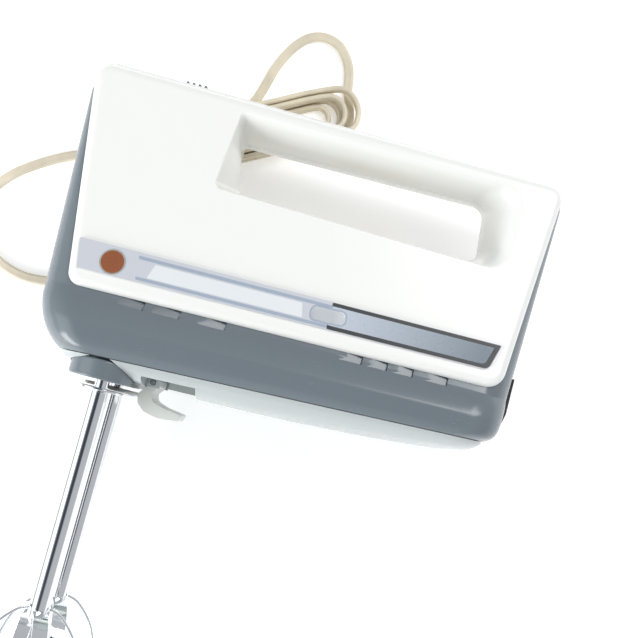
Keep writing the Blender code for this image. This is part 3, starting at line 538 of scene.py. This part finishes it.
def flat_cord(name, knots, spacing=2.2, sides=20):
    """A two-core flat cord swept along its knots, rolled as they say; returns it and its centreline."""
    centres = spline_points([(*p,) for p, _ in knots], spacing)
    rolls = []
    places = [p for p, _ in knots]
    marks = [0.0]
    for a, b in zip(places, places[1:]):
        marks.append(marks[-1] + max(1, round((b - a).length / spacing)))
    for i in range(len(centres)):
        k = max(j for j in range(len(marks)) if marks[j] <= i)
        k = min(k, len(marks) - 2)
        t = (i - marks[k]) / (marks[k + 1] - marks[k])
        t = t * t * (3 - 2 * t)
        rolls.append(knots[k][1] * (1 - t) + knots[k + 1][1] * t)
    rings = []
    lobe = CORD_THICK / 2
    reach = (CORD_WIDE - CORD_THICK) / 2
    for i, centre in enumerate(centres):
        tangent = (centres[min(i + 1, len(centres) - 1)] - centres[max(i - 1, 0)]).normalized()
        flat = tangent.cross(Vector((0, 0, 1))).normalized()
        up = flat.cross(tangent)
        angle = math.radians(rolls[i])
        wide = flat * math.cos(angle) + up * math.sin(angle)
        thin = wide.cross(tangent)
        ring = []
        for k in range(sides):
            a = 2 * math.pi * k / sides
            w = reach * math.copysign(min(1.0, abs(math.cos(a)) * 1.6), math.cos(a)) + lobe * math.cos(a)
            waist = 1.0 - 0.30 * math.exp(-(math.cos(a) / 0.22) ** 2)
            ring.append(centre + wide * w + thin * (lobe * math.sin(a) * waist))
        rings.append(ring)
    return loft(name, rings), [row(c) for c in centres]


PLUG_X = 88.0
PLUG_Y = 53.0
PLUG_Z = -36.9


def plug():
    """A moulded two-blade plug with a waist, finger ribs and a tapered sleeve for the cord."""
    sections = [(-9.0, 3.2, 2.0), (-4.0, 3.6, 2.3), (-0.5, 4.0, 2.6), (0.0, 5.0, 3.6), (3.0, 6.0, 3.9),
                (8.0, 8.6, 4.2), (12.0, 9.6, 4.2), (16.0, 9.9, 4.1), (20.0, 10.3, 4.2), (22.4, 10.4, 4.2),
                (23.0, 9.9, 3.8)]
    rings = []
    for along, half_wide, half_high in sections:
        ring = []
        for k in range(40):
            a = 2 * math.pi * k / 40
            c, s = math.cos(a), math.sin(a)
            ring.append((PLUG_X + along, PLUG_Y + half_wide * math.copysign(abs(c) ** 0.6, c),
                         PLUG_Z + half_high * math.copysign(abs(s) ** 0.6, s)))
        rings.append(ring)
    body = loft("plug_moulding", rings)
    for index in range(4):
        x = PLUG_X + 9.0 + 2.6 * index
        for side in (1, -1):
            ends = sorted((PLUG_Z + side * 3.7, PLUG_Z + side * 6.0))
            boolean(body, box(f"plug_rib_{index}_{side}", (x, PLUG_Y - 6.0, ends[0]),
                              (x + 1.2, PLUG_Y + 6.0, ends[1])))
    freeze(body)
    return finish(body, looks["cord"], "housing", ["plug_body"])


def strain_relief():
    """The elbow out of the right panel: a disc in the panel and a ribbed, tapered sleeve along it."""
    elbow = turned("relief_elbow", "z", (170.0, 40.0, 0.0),
                   [(0, -27.0), (3.9, -27.0), (3.9, -35.6), (3.4, -37.2), (2.2, -38.4), (0, -38.4)], 40)
    nose, root = Vector((139.9, 38.0, -38.65)), Vector((173.0, 40.2, -36.4))
    rings = []
    count = 56
    for i in range(count + 1):
        t = i / count
        centre = root + (nose - root) * t
        radius = 3.6 + (2.5 - 3.6) * t
        if 0.30 < t < 0.95 and i % 6 in (0, 1):
            radius -= 0.55
        along = (nose - root).normalized()
        across = along.cross(Vector((0, 0, 1))).normalized()
        up = across.cross(along)
        ring = []
        for k in range(28):
            a = 2 * math.pi * k / 28
            ring.append(centre + across * (radius * 1.12 * math.cos(a)) + up * (radius * math.sin(a)))
        rings.append(ring)
    sleeve = loft("relief_sleeve", rings)
    boolean(elbow, sleeve, "UNION")
    freeze(elbow)
    elbow.name = "strain_relief_moulding"
    return finish(elbow, looks["cord"], "housing", ["strain_relief"], 40)


def cord():
    knots = cord_line()
    lead, centres = flat_cord("mains_cord", knots)
    nodes = ["cord_lead", "cord_loop", "cord_tail", "cord_hank"]
    finish(lead, looks["cord"], "housing", nodes, 50, False)
    moulding = plug()
    strain_relief()
    for name in ("plug_blade_1", "plug_blade_2"):
        dress(name, "brass")


def dress(node, look):
    """Gives a CAD node that stays in view its material."""
    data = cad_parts[node].data
    data.materials.clear()
    data.materials.append(looks[look])


# White shells ---------------------------------------------------------------------------------

PANEL_CORNERS = [(-1.1, 0.0, 6.0), (178.4, 2.7, 8.0), (187.0, 92.8, 6.0), (-17.8, 95.4, 7.0)]
INNER_CORNERS = [
    (-45.0, -12.0), (215.0, -12.0), (215.0, 88.6), (183.4, 88.6), (182.8, 90.2), (-10.6, 92.6),
    (-13.9, 88.6), (-45.0, 88.6),
]
OPENING_MID = [(53.4, 58.6, 3.0), (161.0, 56.6, 5.0), (157.6, 82.4, 5.0), (47.8, 81.4, 3.0)]
OPENING_SIDE = [(44.8, 54.2, 3.0), (170.6, 50.8, 9.0), (173.0, 88.6, 9.0), (47.4, 90.4, 2.0)]
SCREW_POSTS = [(2.0, 74.0), (14.0, 22.0), (175.6, 62.0), (168.0, 20.0)]


def shell_half_width(y):
    return SHELL_BASE - SHELL_TAPER * y


def crown(y, z):
    """Rise of the top surface towards the mid-plane; nothing below the top corners."""
    if y < 84.0:
        return 0.0
    return CROWN * max(0.0, 1 - (z / 24.0) ** 2) * (y - 84.0) / 11.0


def shell_solid(name, side):
    """The outer shape of one shell: side walls to the mid-plane, a soft rolled edge and the panel."""
    outline = rounded(PANEL_CORNERS, 14)
    rings = []
    for step in range(9):
        level = 0.12 + (19.0 - 0.12) * step / 8
        rings.append([(x, y + crown(y, level), side * level) for x, y in outline])
    steps = 10
    for step in range(steps + 1):
        a = math.pi / 2 * step / steps
        depth = (SHELL_EDGE + 0.5) * (1 - math.sin(a))
        inset = (SHELL_EDGE + 1.2) * (1 - math.cos(a))
        moved = inset_outline(outline, inset)
        rings.append([(x, y, side * (shell_half_width(y) - depth)) for x, y in moved])
    return loft(name, rings)


def opening_solid(name, side, grow, lip):
    """The finger opening from the mid-plane out past the panel: it flares towards the panel, most of
    all at the rear, and ends in a small rounded lip."""
    rings = []
    shares = [-0.02] + [0.05 + 0.925 * i / 22 for i in range(23)]
    marks = [(share, 0.0) for share in shares]
    marks += [(0.975 + 0.027 * math.sin(a), lip * (1 - math.cos(a)))
              for a in (math.pi / 2 * i / 6 for i in range(1, 7))]
    marks.append((1.12, lip + 0.4))
    for share, widen in marks:
        flare = min(1.0, max(0.0, share))
        round_over = 1 - math.sqrt(max(0.0, 1 - (flare * 0.995) ** 2))
        corners = []
        for index, (mid, edge) in enumerate(zip(OPENING_MID, OPENING_SIDE)):
            across = flare if index in (0, 3) else round_over
            up = flare if index < 2 else round_over
            corners.append((mid[0] + (edge[0] - mid[0]) * across, mid[1] + (edge[1] - mid[1]) * up,
                            mid[2] + (edge[2] - mid[2]) * flare))
        outline = inset_outline(rounded(corners, 12), -grow - widen)
        rings.append([(x, y, side * share * shell_half_width(y)) for x, y in outline])
    return loft(name, rings)


def white_shell(word, side):
    name = f"{word}_shell_moulding"
    cavity_rings = [[(x, y + crown(y, 0.0), -side) for x, y in INNER_CORNERS],
                    [(x, y + crown(y, 12.0), side * 12.0) for x, y in INNER_CORNERS],
                    [(x, y, side * (shell_half_width(y) - SHELL_WALL)) for x, y in INNER_CORNERS]]
    cavity = loft(name + "_cavity", cavity_rings)
    boolean(cavity, opening_solid(name + "_tunnel", side, SHELL_WALL, 0.0))
    shell = shell_solid(name, side)
    boolean(shell, cavity)
    for index, (x, y) in enumerate(SCREW_POSTS):
        ends = sorted((side * 0.15, side * (shell_half_width(y) - 1.0)))
        post = turned(f"{name}_post_{index}", "z", (x, y, 0),
                      [(0, ends[1]), (4.2, ends[1]), (4.2, ends[0]), (0, ends[0])], 32)
        boolean(shell, post, "UNION")
    boolean(shell, opening_solid(name + "_opening", side, 0.0, 0.7))
    for index, (x, y) in enumerate(SCREW_POSTS):
        if side > 0:
            profile = [(0, 14.0), (1.9, 14.0), (1.9, -1.0), (0, -1.0)]
        else:
            outer = -shell_half_width(y) - 2.0
            seat = outer + 6.0
            profile = [(0, 1.0), (1.9, 1.0), (1.9, seat), (3.8, seat), (3.8, outer), (0, outer)]
        boolean(shell, turned(f"{name}_bore_{index}", "z", (x, y, 0), profile, 32))
    boolean(shell, box(name + "_slot", (17.0, 90.0, -2.3), (44.0, 104.0, 2.3)))
    if side < 0:
        boolean(shell, turned("cord_hole", "z", (170.0, 40.0, 0),
                              [(0, -20.0), (4.3, -20.0), (4.3, -45.0), (0, -45.0)], 40))
    freeze(shell)
    return finish(shell, looks["white"], "housing", [f"{word}_shell"], 32)


# Grey housing and bottom pan ------------------------------------------------------------------

HOUSING_RINGS = [
    # front, rear, half-width, corner radius, height at the front, lift to the rear, lift's bend
    (1.0, 178.4, 39.2, 16.0, -25.8, 7.2, 1.0),
    (-2.0, 181.2, 41.0, 16.0, -23.4, 6.8, 1.0),
    (-5.6, 182.8, 41.5, 16.0, -19.6, 6.0, 1.0),
    (-9.0, 183.4, 41.5, 16.0, -14.0, 4.6, 1.0),
    (-11.6, 183.7, 39.0, 15.0, -6.5, 2.6, 1.0),
    (-12.4, 183.8, 35.5, 14.0, 0.0, 0.4, 1.0),
    (-18.3, 188.0, 23.1, 9.0, 84.0, 0.0, 1.0),
    (-17.6, 187.5, 22.0, 8.5, 87.0, 0.0, 1.0),
    (-16.0, 186.0, 20.2, 7.5, 88.2, 0.0, 1.0),
]
PAN_RINGS = [
    (1.3, 178.1, 38.9, 15.8, -26.1, 7.2, 1.0),
    (3.8, 176.6, 36.4, 15.0, -28.2, 7.3, 1.2),
    (8.0, 173.0, 30.0, 13.0, -30.6, 7.2, 1.7),
    (13.0, 166.0, 20.0, 9.0, -31.8, 6.6, 2.4),
    (19.0, 160.0, 9.0, 5.0, -32.1, 6.0, 2.6),
]
VENTS = [(19.9, 31.5), (34.6, 46.2), (53.6, 65.1), (111.6, 121.6), (122.8, 132.0), (133.2, 142.6),
         (145.4, 156.8)]
PAN_WALL = 2.0
PAN_POSTS = [(44.0, -31.5), (162.0, -31.5)]
BOSS_Z = 24.4
BOSS_RADIUS = 13.0
BOSS_NEAR = 26.2               # the left end comes out flush with the housing wall
PIVOT = (40.5, -29.6)
HEEL_X = 185.6


def body_ring(front, rear, half_width, corner, y_front, lift, bend):
    """A rounded rectangle in x and z whose height rises by lift from front to rear."""
    half = arc((front + corner, half_width - corner), corner, 180, 90, 14)
    flat_start, flat_end = front + corner, rear - corner
    for i in range(1, 40):
        half.append((flat_start + (flat_end - flat_start) * i / 40, half_width))
    half += arc((rear - corner, half_width - corner), corner, 90, 0, 14)
    near = [(x, y_front + lift * max(0.0, (x - front) / (rear - front)) ** bend, z) for x, z in half]
    return near + [(x, y, -z) for x, y, z in reversed(near)]


def finer(rings, pieces):
    """The ring list with extra rings in between, on a smooth curve through the given ones. pieces
    holds how many steps each gap gets; the gap of the long straight wall is left linear, and no ring
    comes out wider than the given ones beside it."""
    dense = [rings[0]]
    for i, count in enumerate(pieces):
        a, b = rings[i], rings[i + 1]
        straight = b[4] - a[4] > 40.0
        before = rings[i - 1] if i and not rings[i][4] - rings[i - 1][4] > 40.0 else a
        after = rings[i + 2] if i + 2 < len(rings) and not rings[i + 2][4] - b[4] > 40.0 else b
        for k in range(1, count + 1):
            t = k / count
            if straight:
                dense.append(tuple(p + (q - p) * t for p, q in zip(a, b)))
                continue
            ring = [0.5 * (2 * q + (r - p) * t + (2 * p - 5 * q + 4 * r - s) * t * t
                           + (3 * q - p - 3 * r + s) * t ** 3)
                    for p, q, r, s in zip(before, a, b, after)]
            ring[2] = min(ring[2], max(a[2], b[2]))
            dense.append(tuple(ring))
    return dense


def shrunk(ring, wall):
    front, rear, width, corner, height, lift, bend = ring
    return (front + wall, rear - wall, width - wall, corner - wall, height, lift, bend)


def motor_housing():
    """The grey tub with its nose, rear wall and skirt, and the recessed cooling louvres under the lip."""
    outer = finer(HOUSING_RINGS, [5, 5, 5, 5, 5, 8, 3, 3])
    tub = loft("motor_housing_moulding", [body_ring(*r) for r in outer], mirror_caps=True)
    inner = [shrunk(r, HOUSING_WALL) for r in outer if r[4] < 83.0]
    inner.insert(0, (*shrunk(outer[0], HOUSING_WALL)[:4], -34.0, 7.2, 1.0))
    inner.append((-15.4, 185.3, 19.8, 6.3, 85.0, 0.0, 1.0))
    inner.append((-14.3, 184.0, 18.6, 5.4, 86.0, 0.0, 1.0))
    boolean(tub, loft("housing_cavity", [body_ring(*r) for r in inner], mirror_caps=True))
    side_cut = rounded([(3.0, 3.4, 2.0), (174.6, 5.6, 2.0), (183.6, 100.0, 0.0), (-14.5, 100.0, 0.0)], 8)
    boolean(tub, extruded("housing_side_cut", side_cut, "z", -60.0, 60.0))
    for index, (low, high) in enumerate(VENTS):
        foot = -3.37 + 0.0163 * low
        for side in (1, -1):
            deep = [(low + 0.5, foot + 3.6, 35.9), (high + 0.3, foot + 3.7, 33.9),
                    (high + 0.3, foot + 0.1, 34.9), (low + 0.5, foot, 36.9)]
            out = [(low, foot + 3.6, 44.0), (high, foot + 3.7, 44.0), (high, foot - 0.1, 44.0),
                   (low, foot - 0.2, 44.0)]
            rings = [[(x, y, side * z) for x, y, z in points] for points in (deep, out)]
            boolean(tub, loft(f"louvre_{index}_{side}", rings))
    freeze(tub)
    return finish(tub, looks["grey"], "housing", ["motor_housing"], 34)


def stadium(start, end, radius, steps=24):
    """A slot shape around the segment from start to end."""
    start, end = Vector(start), Vector(end)
    heading = math.degrees(math.atan2(end.y - start.y, end.x - start.x))
    return (arc(end, radius, heading - 90, heading + 90, steps)
            + arc(start, radius, heading + 90, heading + 270, steps))


def pivot_bore(name):
    """A cutter for the ejector pin's hole, through the lever and both cheeks."""
    return turned(name, "z", (*PIVOT, 0), [(0, 20.0), (1.3, 20.0), (1.3, -20.0), (0, -20.0)], 24)


def bottom_pan():
    """The pale bellied cover: a hole for the boss, a recess for the lever, two tabs and two screw bores."""
    outer = finer(PAN_RINGS, [5, 5, 5, 5])
    pan = loft("bottom_pan_moulding", [body_ring(*r) for r in outer], mirror_caps=True)
    hollow = [(*shrunk(r, PAN_WALL)[:4], r[4] + PAN_WALL, *r[5:]) for r in PAN_RINGS]
    hollow.insert(0, (*shrunk(PAN_RINGS[0], PAN_WALL)[:4], -18.0, 7.2, 1.0))
    boolean(pan, loft("pan_cavity", [body_ring(*r) for r in hollow], mirror_caps=True))
    for index, (foot, low, high) in enumerate(((-30.6, -15.6, 15.6), (-29.7, -27.6, 28.0),
                                               (-27.9, 15.0, 33.6))):
        boolean(pan, box(f"lever_pocket_{index}", (35.9, foot, low), (61.6, -24.9, high)), "UNION")
    for index, (start, foot) in enumerate(((78.0, -24.6), (128.0, -22.5))):
        boolean(pan, box(f"pan_tab_{index}", (start, foot, 34.9), (start + 10.0, foot + 8.0, 36.4)), "UNION")
    for index, (x, z) in enumerate(PAN_POSTS):
        low, high = (-28.6, -18.4) if x < 80 else (-22.6, -14.9)
        boolean(pan, turned(f"pan_seat_{index}", "y", (x, 0, z),
                            [(0, high), (3.6, high), (3.6, low), (0, low)], 32), "UNION")
    recess = rounded([(37.5, -42.0, 0.0), (60.0, -42.0, 0.0), (60.0, -26.5, 2.0), (37.5, -26.5, 3.0)], 8)
    boolean(pan, extruded("lever_recess", recess, "z", -26.0, 34.4))
    for side in (1, -1):
        ends = sorted((side * 14.0, side * 15.6))
        cheek = box(f"pivot_cheek_{side}", (36.7, -31.6, ends[0]), (43.5, -25.6, ends[1]))
        boolean(pan, cheek, "UNION")
    boolean(pan, pivot_bore("pivot_hole"))
    hole = stadium((BEATER_X, -BOSS_Z), (BEATER_X, BOSS_NEAR), BOSS_RADIUS + 0.3)
    boolean(pan, extruded("boss_hole", hole, "y", -40.0, -20.0))
    for index, (x, z) in enumerate(PAN_POSTS):
        head = -31.0 if x < 80 else -25.0
        boolean(pan, turned(f"pan_bore_{index}", "y", (x, 0, z),
                            [(0, -10.0), (1.8, -10.0), (1.8, head + 5.0), (3.0, head + 5.0),
                             (3.0, head - 8.0), (0, head - 8.0)], 32))
    freeze(pan)
    return finish(pan, looks["pale"], "housing", ["bottom_pan"], 34)


def socket_boss():
    outline = stadium((BEATER_X, -BOSS_Z), (BEATER_X, BOSS_NEAR), BOSS_RADIUS, 32)
    boss = extruded("socket_boss_moulding", outline, "y", -34.0, -25.95, 0.9, 4)
    neck = stadium((BEATER_X, -BOSS_Z + 2.0), (BEATER_X, BOSS_Z - 1.2), BOSS_RADIUS - 0.6, 32)
    boolean(boss, extruded("boss_neck", neck, "y", -27.0, -23.2), "UNION")
    for side in (1, -1):
        boolean(boss, turned(f"boss_bore_{side}", "y", (BEATER_X, 0, side * BEATER_Z),
                             [(0, -15.0), (8.8, -15.0), (8.8, -40.0), (0, -40.0)], 48))
    freeze(boss)
    return finish(boss, looks["grey"], "housing", ["socket_boss"], 34)


def heel_pad():
    """The black rubber pad on the rear wall, with three shallow grooves across it."""
    outline = [(HEEL_X - 0.9, 10.0), (HEEL_X - 1.5, 0.0), (HEEL_X - 1.6, -3.9), (HEEL_X - 1.9, -9.4),
               (HEEL_X - 1.2, -10.2), (HEEL_X, -5.0), (HEEL_X, 10.0)]
    pad = extruded("heel_pad_moulding", outline, "z", -20.0, 20.0, 0.3, 2)
    for index in range(3):
        y = -1.6 + 3.6 * index
        boolean(pad, box(f"pad_groove_{index}", (HEEL_X - 0.5, y, -18.0), (HEEL_X + 1.0, y + 0.8, 18.0)))
    freeze(pad)
    return finish(pad, looks["rubber"], "housing", ["heel_pad"])


# Trim strip -----------------------------------------------------------------------------------

def on_panel(outline, low, high):
    """Rings for a thin plate lying on the left panel, between two heights above it."""
    return [[(x, y, shell_half_width(y) + height) for x, y in outline] for height in (low, high)]


def trim_field():
    """The right-hand field of the trim strip: silver that darkens to blue-grey towards the heel."""
    s = Surface("trim_field", (0.50, 0.55, 0.62), 0.28, 0.1)
    split = s.add("ShaderNodeSeparateXYZ")
    s.links.new(s.place, split.inputs[0])
    start, end = row((108.0, 0.0, 0.0)).x, row((168.0, 0.0, 0.0)).x
    along = s.spread(split.outputs["X"], start, end)
    scratch = s.spread(s.noise(1.2, 4.0, (1.0, 14.0, 1.0)), 0.66, 0.72, 0.0, 0.12)
    tone = s.mix(along, (0.50, 0.55, 0.62), (0.130, 0.165, 0.200))
    s.paint(s.mix(scratch, tone, (0.75, 0.78, 0.80)))
    s.gloss(s.spread(s.noise(3.0), 0.3, 0.7, 0.26, 0.31))
    return s.material


def trim_strip():
    """The printed foil strip: a silver base with a light plate and a plain round badge at the front, and
    a dark-bordered field at the rear."""
    rule = plastic("trim_rule", (0.34, 0.40, 0.49), 0.28)
    border = matt("trim_border_ink", (0.035, 0.037, 0.040), 0.35, 1.0, 0.005)
    base = rounded([(1.4, 7.3, 1.0), (171.6, 9.6, 3.0), (174.8, 20.6, 0.6), (-1.0, 19.4, 0.6)], 8)
    edge = [(104.5, 8.8, 0.4), (171.3, 9.8, 2.7), (174.4, 20.4, 0.4), (104.5, 19.9, 0.4)]
    field = [(104.6, 10.4, 0.3), (169.4, 11.3, 2.2), (171.9, 18.9, 0.3), (104.6, 18.4, 0.3)]
    plates = [
        ("trim_base", base, 0.0, 0.8, plastic("trim_silver", (0.56, 0.58, 0.63), 0.30)),
        ("trim_rule_top", [(24.5, 16.8), (112.0, 17.4), (112.0, 18.7), (24.0, 18.1)], 0.8, 0.86, rule),
        ("trim_rule_foot", [(25.5, 8.3), (106.0, 9.2), (106.0, 10.4), (25.2, 9.5)], 0.8, 0.86, rule),
        ("trim_plate", [(29.6, 10.0), (94.0, 10.8), (92.6, 16.7), (31.6, 16.2)], 0.8, 0.88,
         plastic("trim_bright", (0.74, 0.77, 0.79), 0.24)),
        ("trim_border", rounded(edge, 8), 0.8, 0.86, border),
        ("trim_field", rounded(field, 8), 0.86, 0.94, trim_field()),
    ]
    for name, outline, low, high, look in plates:
        item = loft(name, on_panel(outline, low + (0.05 if low else 0.0), high + 0.05))
        finish(item, look, "housing", ["label_strip"] if name == "trim_base" else (), 30, False)
    badge = Vector((14.6, 12.9))
    for name, radius, high, look in (
            ("trim_badge_rim", 5.3, 0.98, metal("badge_rim", (0.80, 0.78, 0.72), 0.2)),
            ("trim_badge", 4.7, 1.04, matt("badge_enamel", (0.30, 0.095, 0.035), 0.25, 1.5, 0.002))):
        outline = arc(badge, radius, 0, 360 * 47 / 48, 47)
        item = loft(name, on_panel(outline, 0.86, high))
        finish(item, look, "housing", (), 30, False)
    frame_outer = rounded([(96.4, 10.6, 2.6), (111.6, 10.9, 2.6), (111.6, 17.6, 2.6), (96.4, 17.3, 2.6)], 10)
    plate = loft("trim_frame", on_panel(frame_outer, 0.9, 1.0))
    finish(plate, rule, "housing", (), 30, False)
    plate = loft("trim_frame_face", on_panel(inset_outline(frame_outer, 0.6), 0.95, 1.05))
    silver = metal("trim_frame_silver", (0.70, 0.73, 0.76), 0.24)
    finish(plate, silver, "housing", (), 30, False)


# Controls -------------------------------------------------------------------------------------

def speed_slide():
    slide = box("speed_slide_moulding", (16.4, 99.4, -5.4), (28.8, 99.85, 5.4), 0.15, 2)
    for index in range(4):
        x = 18.5 + 2.7 * index
        ridge = box(f"slide_ridge_{index}", (x - 0.6, 99.7, -5.2), (x + 0.6, 101.0, 5.2), 0.25, 2)
        boolean(slide, ridge, "UNION")
    for index, (low, high) in enumerate((((18.0, 90.2, -1.9), (27.0, 99.8, 1.9)),
                                         ((15.0, 90.0, -5.0), (30.0, 92.2, 5.0)),
                                         ((21.0, 87.0, -1.6), (24.0, 90.6, 1.6)))):
        boolean(slide, box(f"slide_stem_{index}", low, high), "UNION")
    freeze(slide)
    return finish(slide, looks["grey"], "speed_slide", ["speed_slide"])


LEVER_OUTLINE = [
    (12.0, -36.9, 0.3), (35.2, -36.9, 0.8), (35.7, -39.6, 3.0), (39.2, -42.6, 4.0), (45.6, -43.8, 8.0),
    (54.0, -42.9, 0.8), (54.9, -39.9, 0.8), (46.4, -38.7, 3.0), (41.4, -37.0, 3.0), (40.6, -34.0, 1.5),
    (42.9, -31.0, 1.0), (42.6, -27.7, 1.4), (38.5, -27.7, 1.4), (38.1, -31.2, 1.0), (35.0, -35.7, 1.0),
    (12.0, -35.7, 0.3),
]


def ejector():
    """The white lever: a tongue over both beater collars and a hook that the thumb squeezes up."""
    lever = extruded("ejector_lever_moulding", rounded(LEVER_OUTLINE, 10), "z", -12.0, 12.0, 0.4, 3)
    boolean(lever, pivot_bore("lever_bore"))
    freeze(lever)
    return finish(lever, looks["lever"], "ejector", ["ejector_lever"], 34)


def wound_spring():
    """The small torsion spring round the pivot pin."""
    turns, start, end = 3, 12.35, 13.65
    points = []
    count = 30 * turns
    for i in range(count + 1):
        a = 2 * math.pi * turns * i / count
        points.append(Vector((PIVOT[0] + 1.75 * math.cos(a), PIVOT[1] + 1.75 * math.sin(a),
                              start + (end - start) * i / count)))
    rings = []
    for i, centre in enumerate(points):
        tangent = (points[min(i + 1, count)] - points[max(i - 1, 0)]).normalized()
        across = tangent.cross(Vector((0, 0, 1))).normalized()
        up = across.cross(tangent)
        rings.append([centre + (across * math.cos(a) + up * math.sin(a)) * 0.2
                      for a in (2 * math.pi * k / 8 for k in range(8))])
    return finish(loft("ejector_spring_wire", rings), looks["steel"], "housing", ["ejector_spring"])


# Beaters --------------------------------------------------------------------------------------

CAGE_TOP = -134.0
TIP_Y = -194.0
CAGE_RADIUS = 21.0
BLADE_TURN = 22.5


def blade_loop(name, z, turn, raise_tip, body, node):
    """One chromed strip bent into a U, with rounded edges."""
    top = CAGE_TOP + 3.0
    low = TIP_Y + 0.55
    knots = [(4.4, top), (9.0, top - 1.0), (15.0, top - 6.0), (19.0, top - 13.0), (CAGE_RADIUS, top - 22.5),
             (CAGE_RADIUS - 0.4, low + 27.5), (17.4, low + 15.5), (12.6, low + 6.3), (8.0, low + 2.1),
             (4.4, low + 0.35), (0.0, low)]
    half = [(r, y + raise_tip * min(1.0, max(0.0, 1.6 - r / 8.0))) for r, y in knots]
    centre = [(-r, y, 0.0) for r, y in half] + [(r, y, 0.0) for r, y in reversed(half[:-1])]
    line = spline_points(centre, 2.0)
    thick, wide, edge = 0.55, 3.2, 0.35
    section = rounded([(thick, wide, edge), (-thick, wide, edge), (-thick, -wide, edge),
                       (thick, -wide, edge)], 3)
    spin = Matrix.Rotation(math.radians(turn), 3, "Y")
    axis = Vector((BEATER_X, 0.0, z))
    rings = []
    for i, point in enumerate(line):
        tangent = (line[min(i + 1, len(line) - 1)] - line[max(i - 1, 0)]).normalized()
        normal = Vector((-tangent.y, tangent.x, 0.0))
        rings.append([axis + spin @ (point + normal * n + Vector((0, 0, w))) for n, w in section])
    return finish(loft(name, rings), looks["chrome"], body, [node], 50)


def beaters():
    for side, word in ((1, "left"), (-1, "right")):
        body = f"beater_{word}"
        at = (BEATER_X, 0.0, side * BEATER_Z)
        shaft = turned(f"beater_tube_{word}", "y", at,
                       [(0, 0.4), (2.4, 0.0), (2.9, -0.6), (3.0, -1.2), (3.0, -38.9), (3.7, -38.9),
                        (4.0, -39.2), (4.0, -133.2), (3.8, -133.9), (3.2, -134.6), (2.4, -136.0),
                        (0, -136.0)], 64)
        finish(shaft, looks["chrome"], body, [f"beater_shaft_{word}"], 40)
        collar = turned(f"beater_disc_{word}", "y", at,
                        [(9.5, -37.3), (9.85, -37.45), (10.0, -37.8), (9.85, -38.3), (9.5, -38.5),
                         (4.9, -38.5), (3.3, -38.5), (3.3, -37.3)], 64)
        finish(collar, looks["chrome"], body, [f"beater_collar_{word}"], 40)
        first = BLADE_TURN if side > 0 else 45.0 - BLADE_TURN
        blade_loop(f"beater_blade_a_{word}", side * BEATER_Z, first, 1.9, body, f"beater_loop_a_{word}")
        blade_loop(f"beater_blade_b_{word}", side * BEATER_Z, first + 90.0, 0.0, body,
                   f"beater_loop_b_{word}")


# Screws and insides ---------------------------------------------------------------------------

def screws():
    """Pan-head screws with cross recesses: four long ones from the right side, two up from below."""
    for index, (x, y) in enumerate(SCREW_POSTS, 1):
        seat = -shell_half_width(y) + 3.8
        screw = turned(f"long_screw_{index}", "z", (x, y, 0),
                       [(0, 12.0), (0.5, 11.9), (1.4, 10.6), (1.4, seat), (3.2, seat), (3.2, seat - 1.2),
                        (2.9, seat - 1.8), (2.2, seat - 2.2), (0, seat - 2.2)], 40)
        for turn, half in ((0, (1.6, 0.35)), (1, (0.35, 1.6))):
            boolean(screw, box(f"recess_{index}_{turn}", (x - half[0], y - half[1], seat - 3.0),
                               (x + half[0], y + half[1], seat - 1.0)))
        freeze(screw)
        finish(screw, looks["steel"], "housing", [f"shell_screw_{index}"])
    for index, (x, z) in enumerate(PAN_POSTS, 1):
        seat = (-31.0 if x < 80 else -25.0) + 4.6
        screw = turned(f"short_screw_{index}", "y", (x, 0, z),
                       [(0, -7.0), (0.5, -7.1), (1.2, -8.2), (1.2, seat), (2.6, seat), (2.6, seat - 1.1),
                        (2.3, seat - 1.6), (1.7, seat - 1.8), (0, seat - 1.8)], 40)
        for turn, half in ((0, (1.3, 0.3)), (1, (0.3, 1.3))):
            boolean(screw, box(f"cross_{index}_{turn}", (x - half[0], seat - 2.6, z - half[1]),
                               (x + half[0], seat - 0.9, z + half[1])))
        freeze(screw)
        finish(screw, looks["steel"], "housing", [f"pan_screw_{index}"])


INSIDES = {
    "steel": ["ejector_pin", "gear_frame", "spindle_left", "spindle_right", "armature_shaft",
              "rear_bracket"],
    "laminated": ["stator_core", "armature_core"],
    "bronze": ["spindle_bush_left", "spindle_bush_right", "bearing_front", "bearing_middle", "bearing_rear"],
    "nylon": ["worm_wheel_left", "worm_wheel_right", "cooling_fan"],
    "copper": ["field_coil_upper", "field_coil_lower", "armature_winding_front", "armature_winding_rear"],
    "brass": ["commutator", "brush_holder_left", "brush_holder_right"],
    "carbon": ["carbon_brush_left", "carbon_brush_right"],
    "switch": ["speed_switch"],
}


camera()
surroundings()
table()
cord()
white_shell("left", 1)
white_shell("right", -1)
motor_housing()
bottom_pan()
socket_boss()
heel_pad()
trim_strip()
speed_slide()
ejector()
wound_spring()
beaters()
screws()
for look, nodes in INSIDES.items():
    for node in nodes:
        dress(node, look)
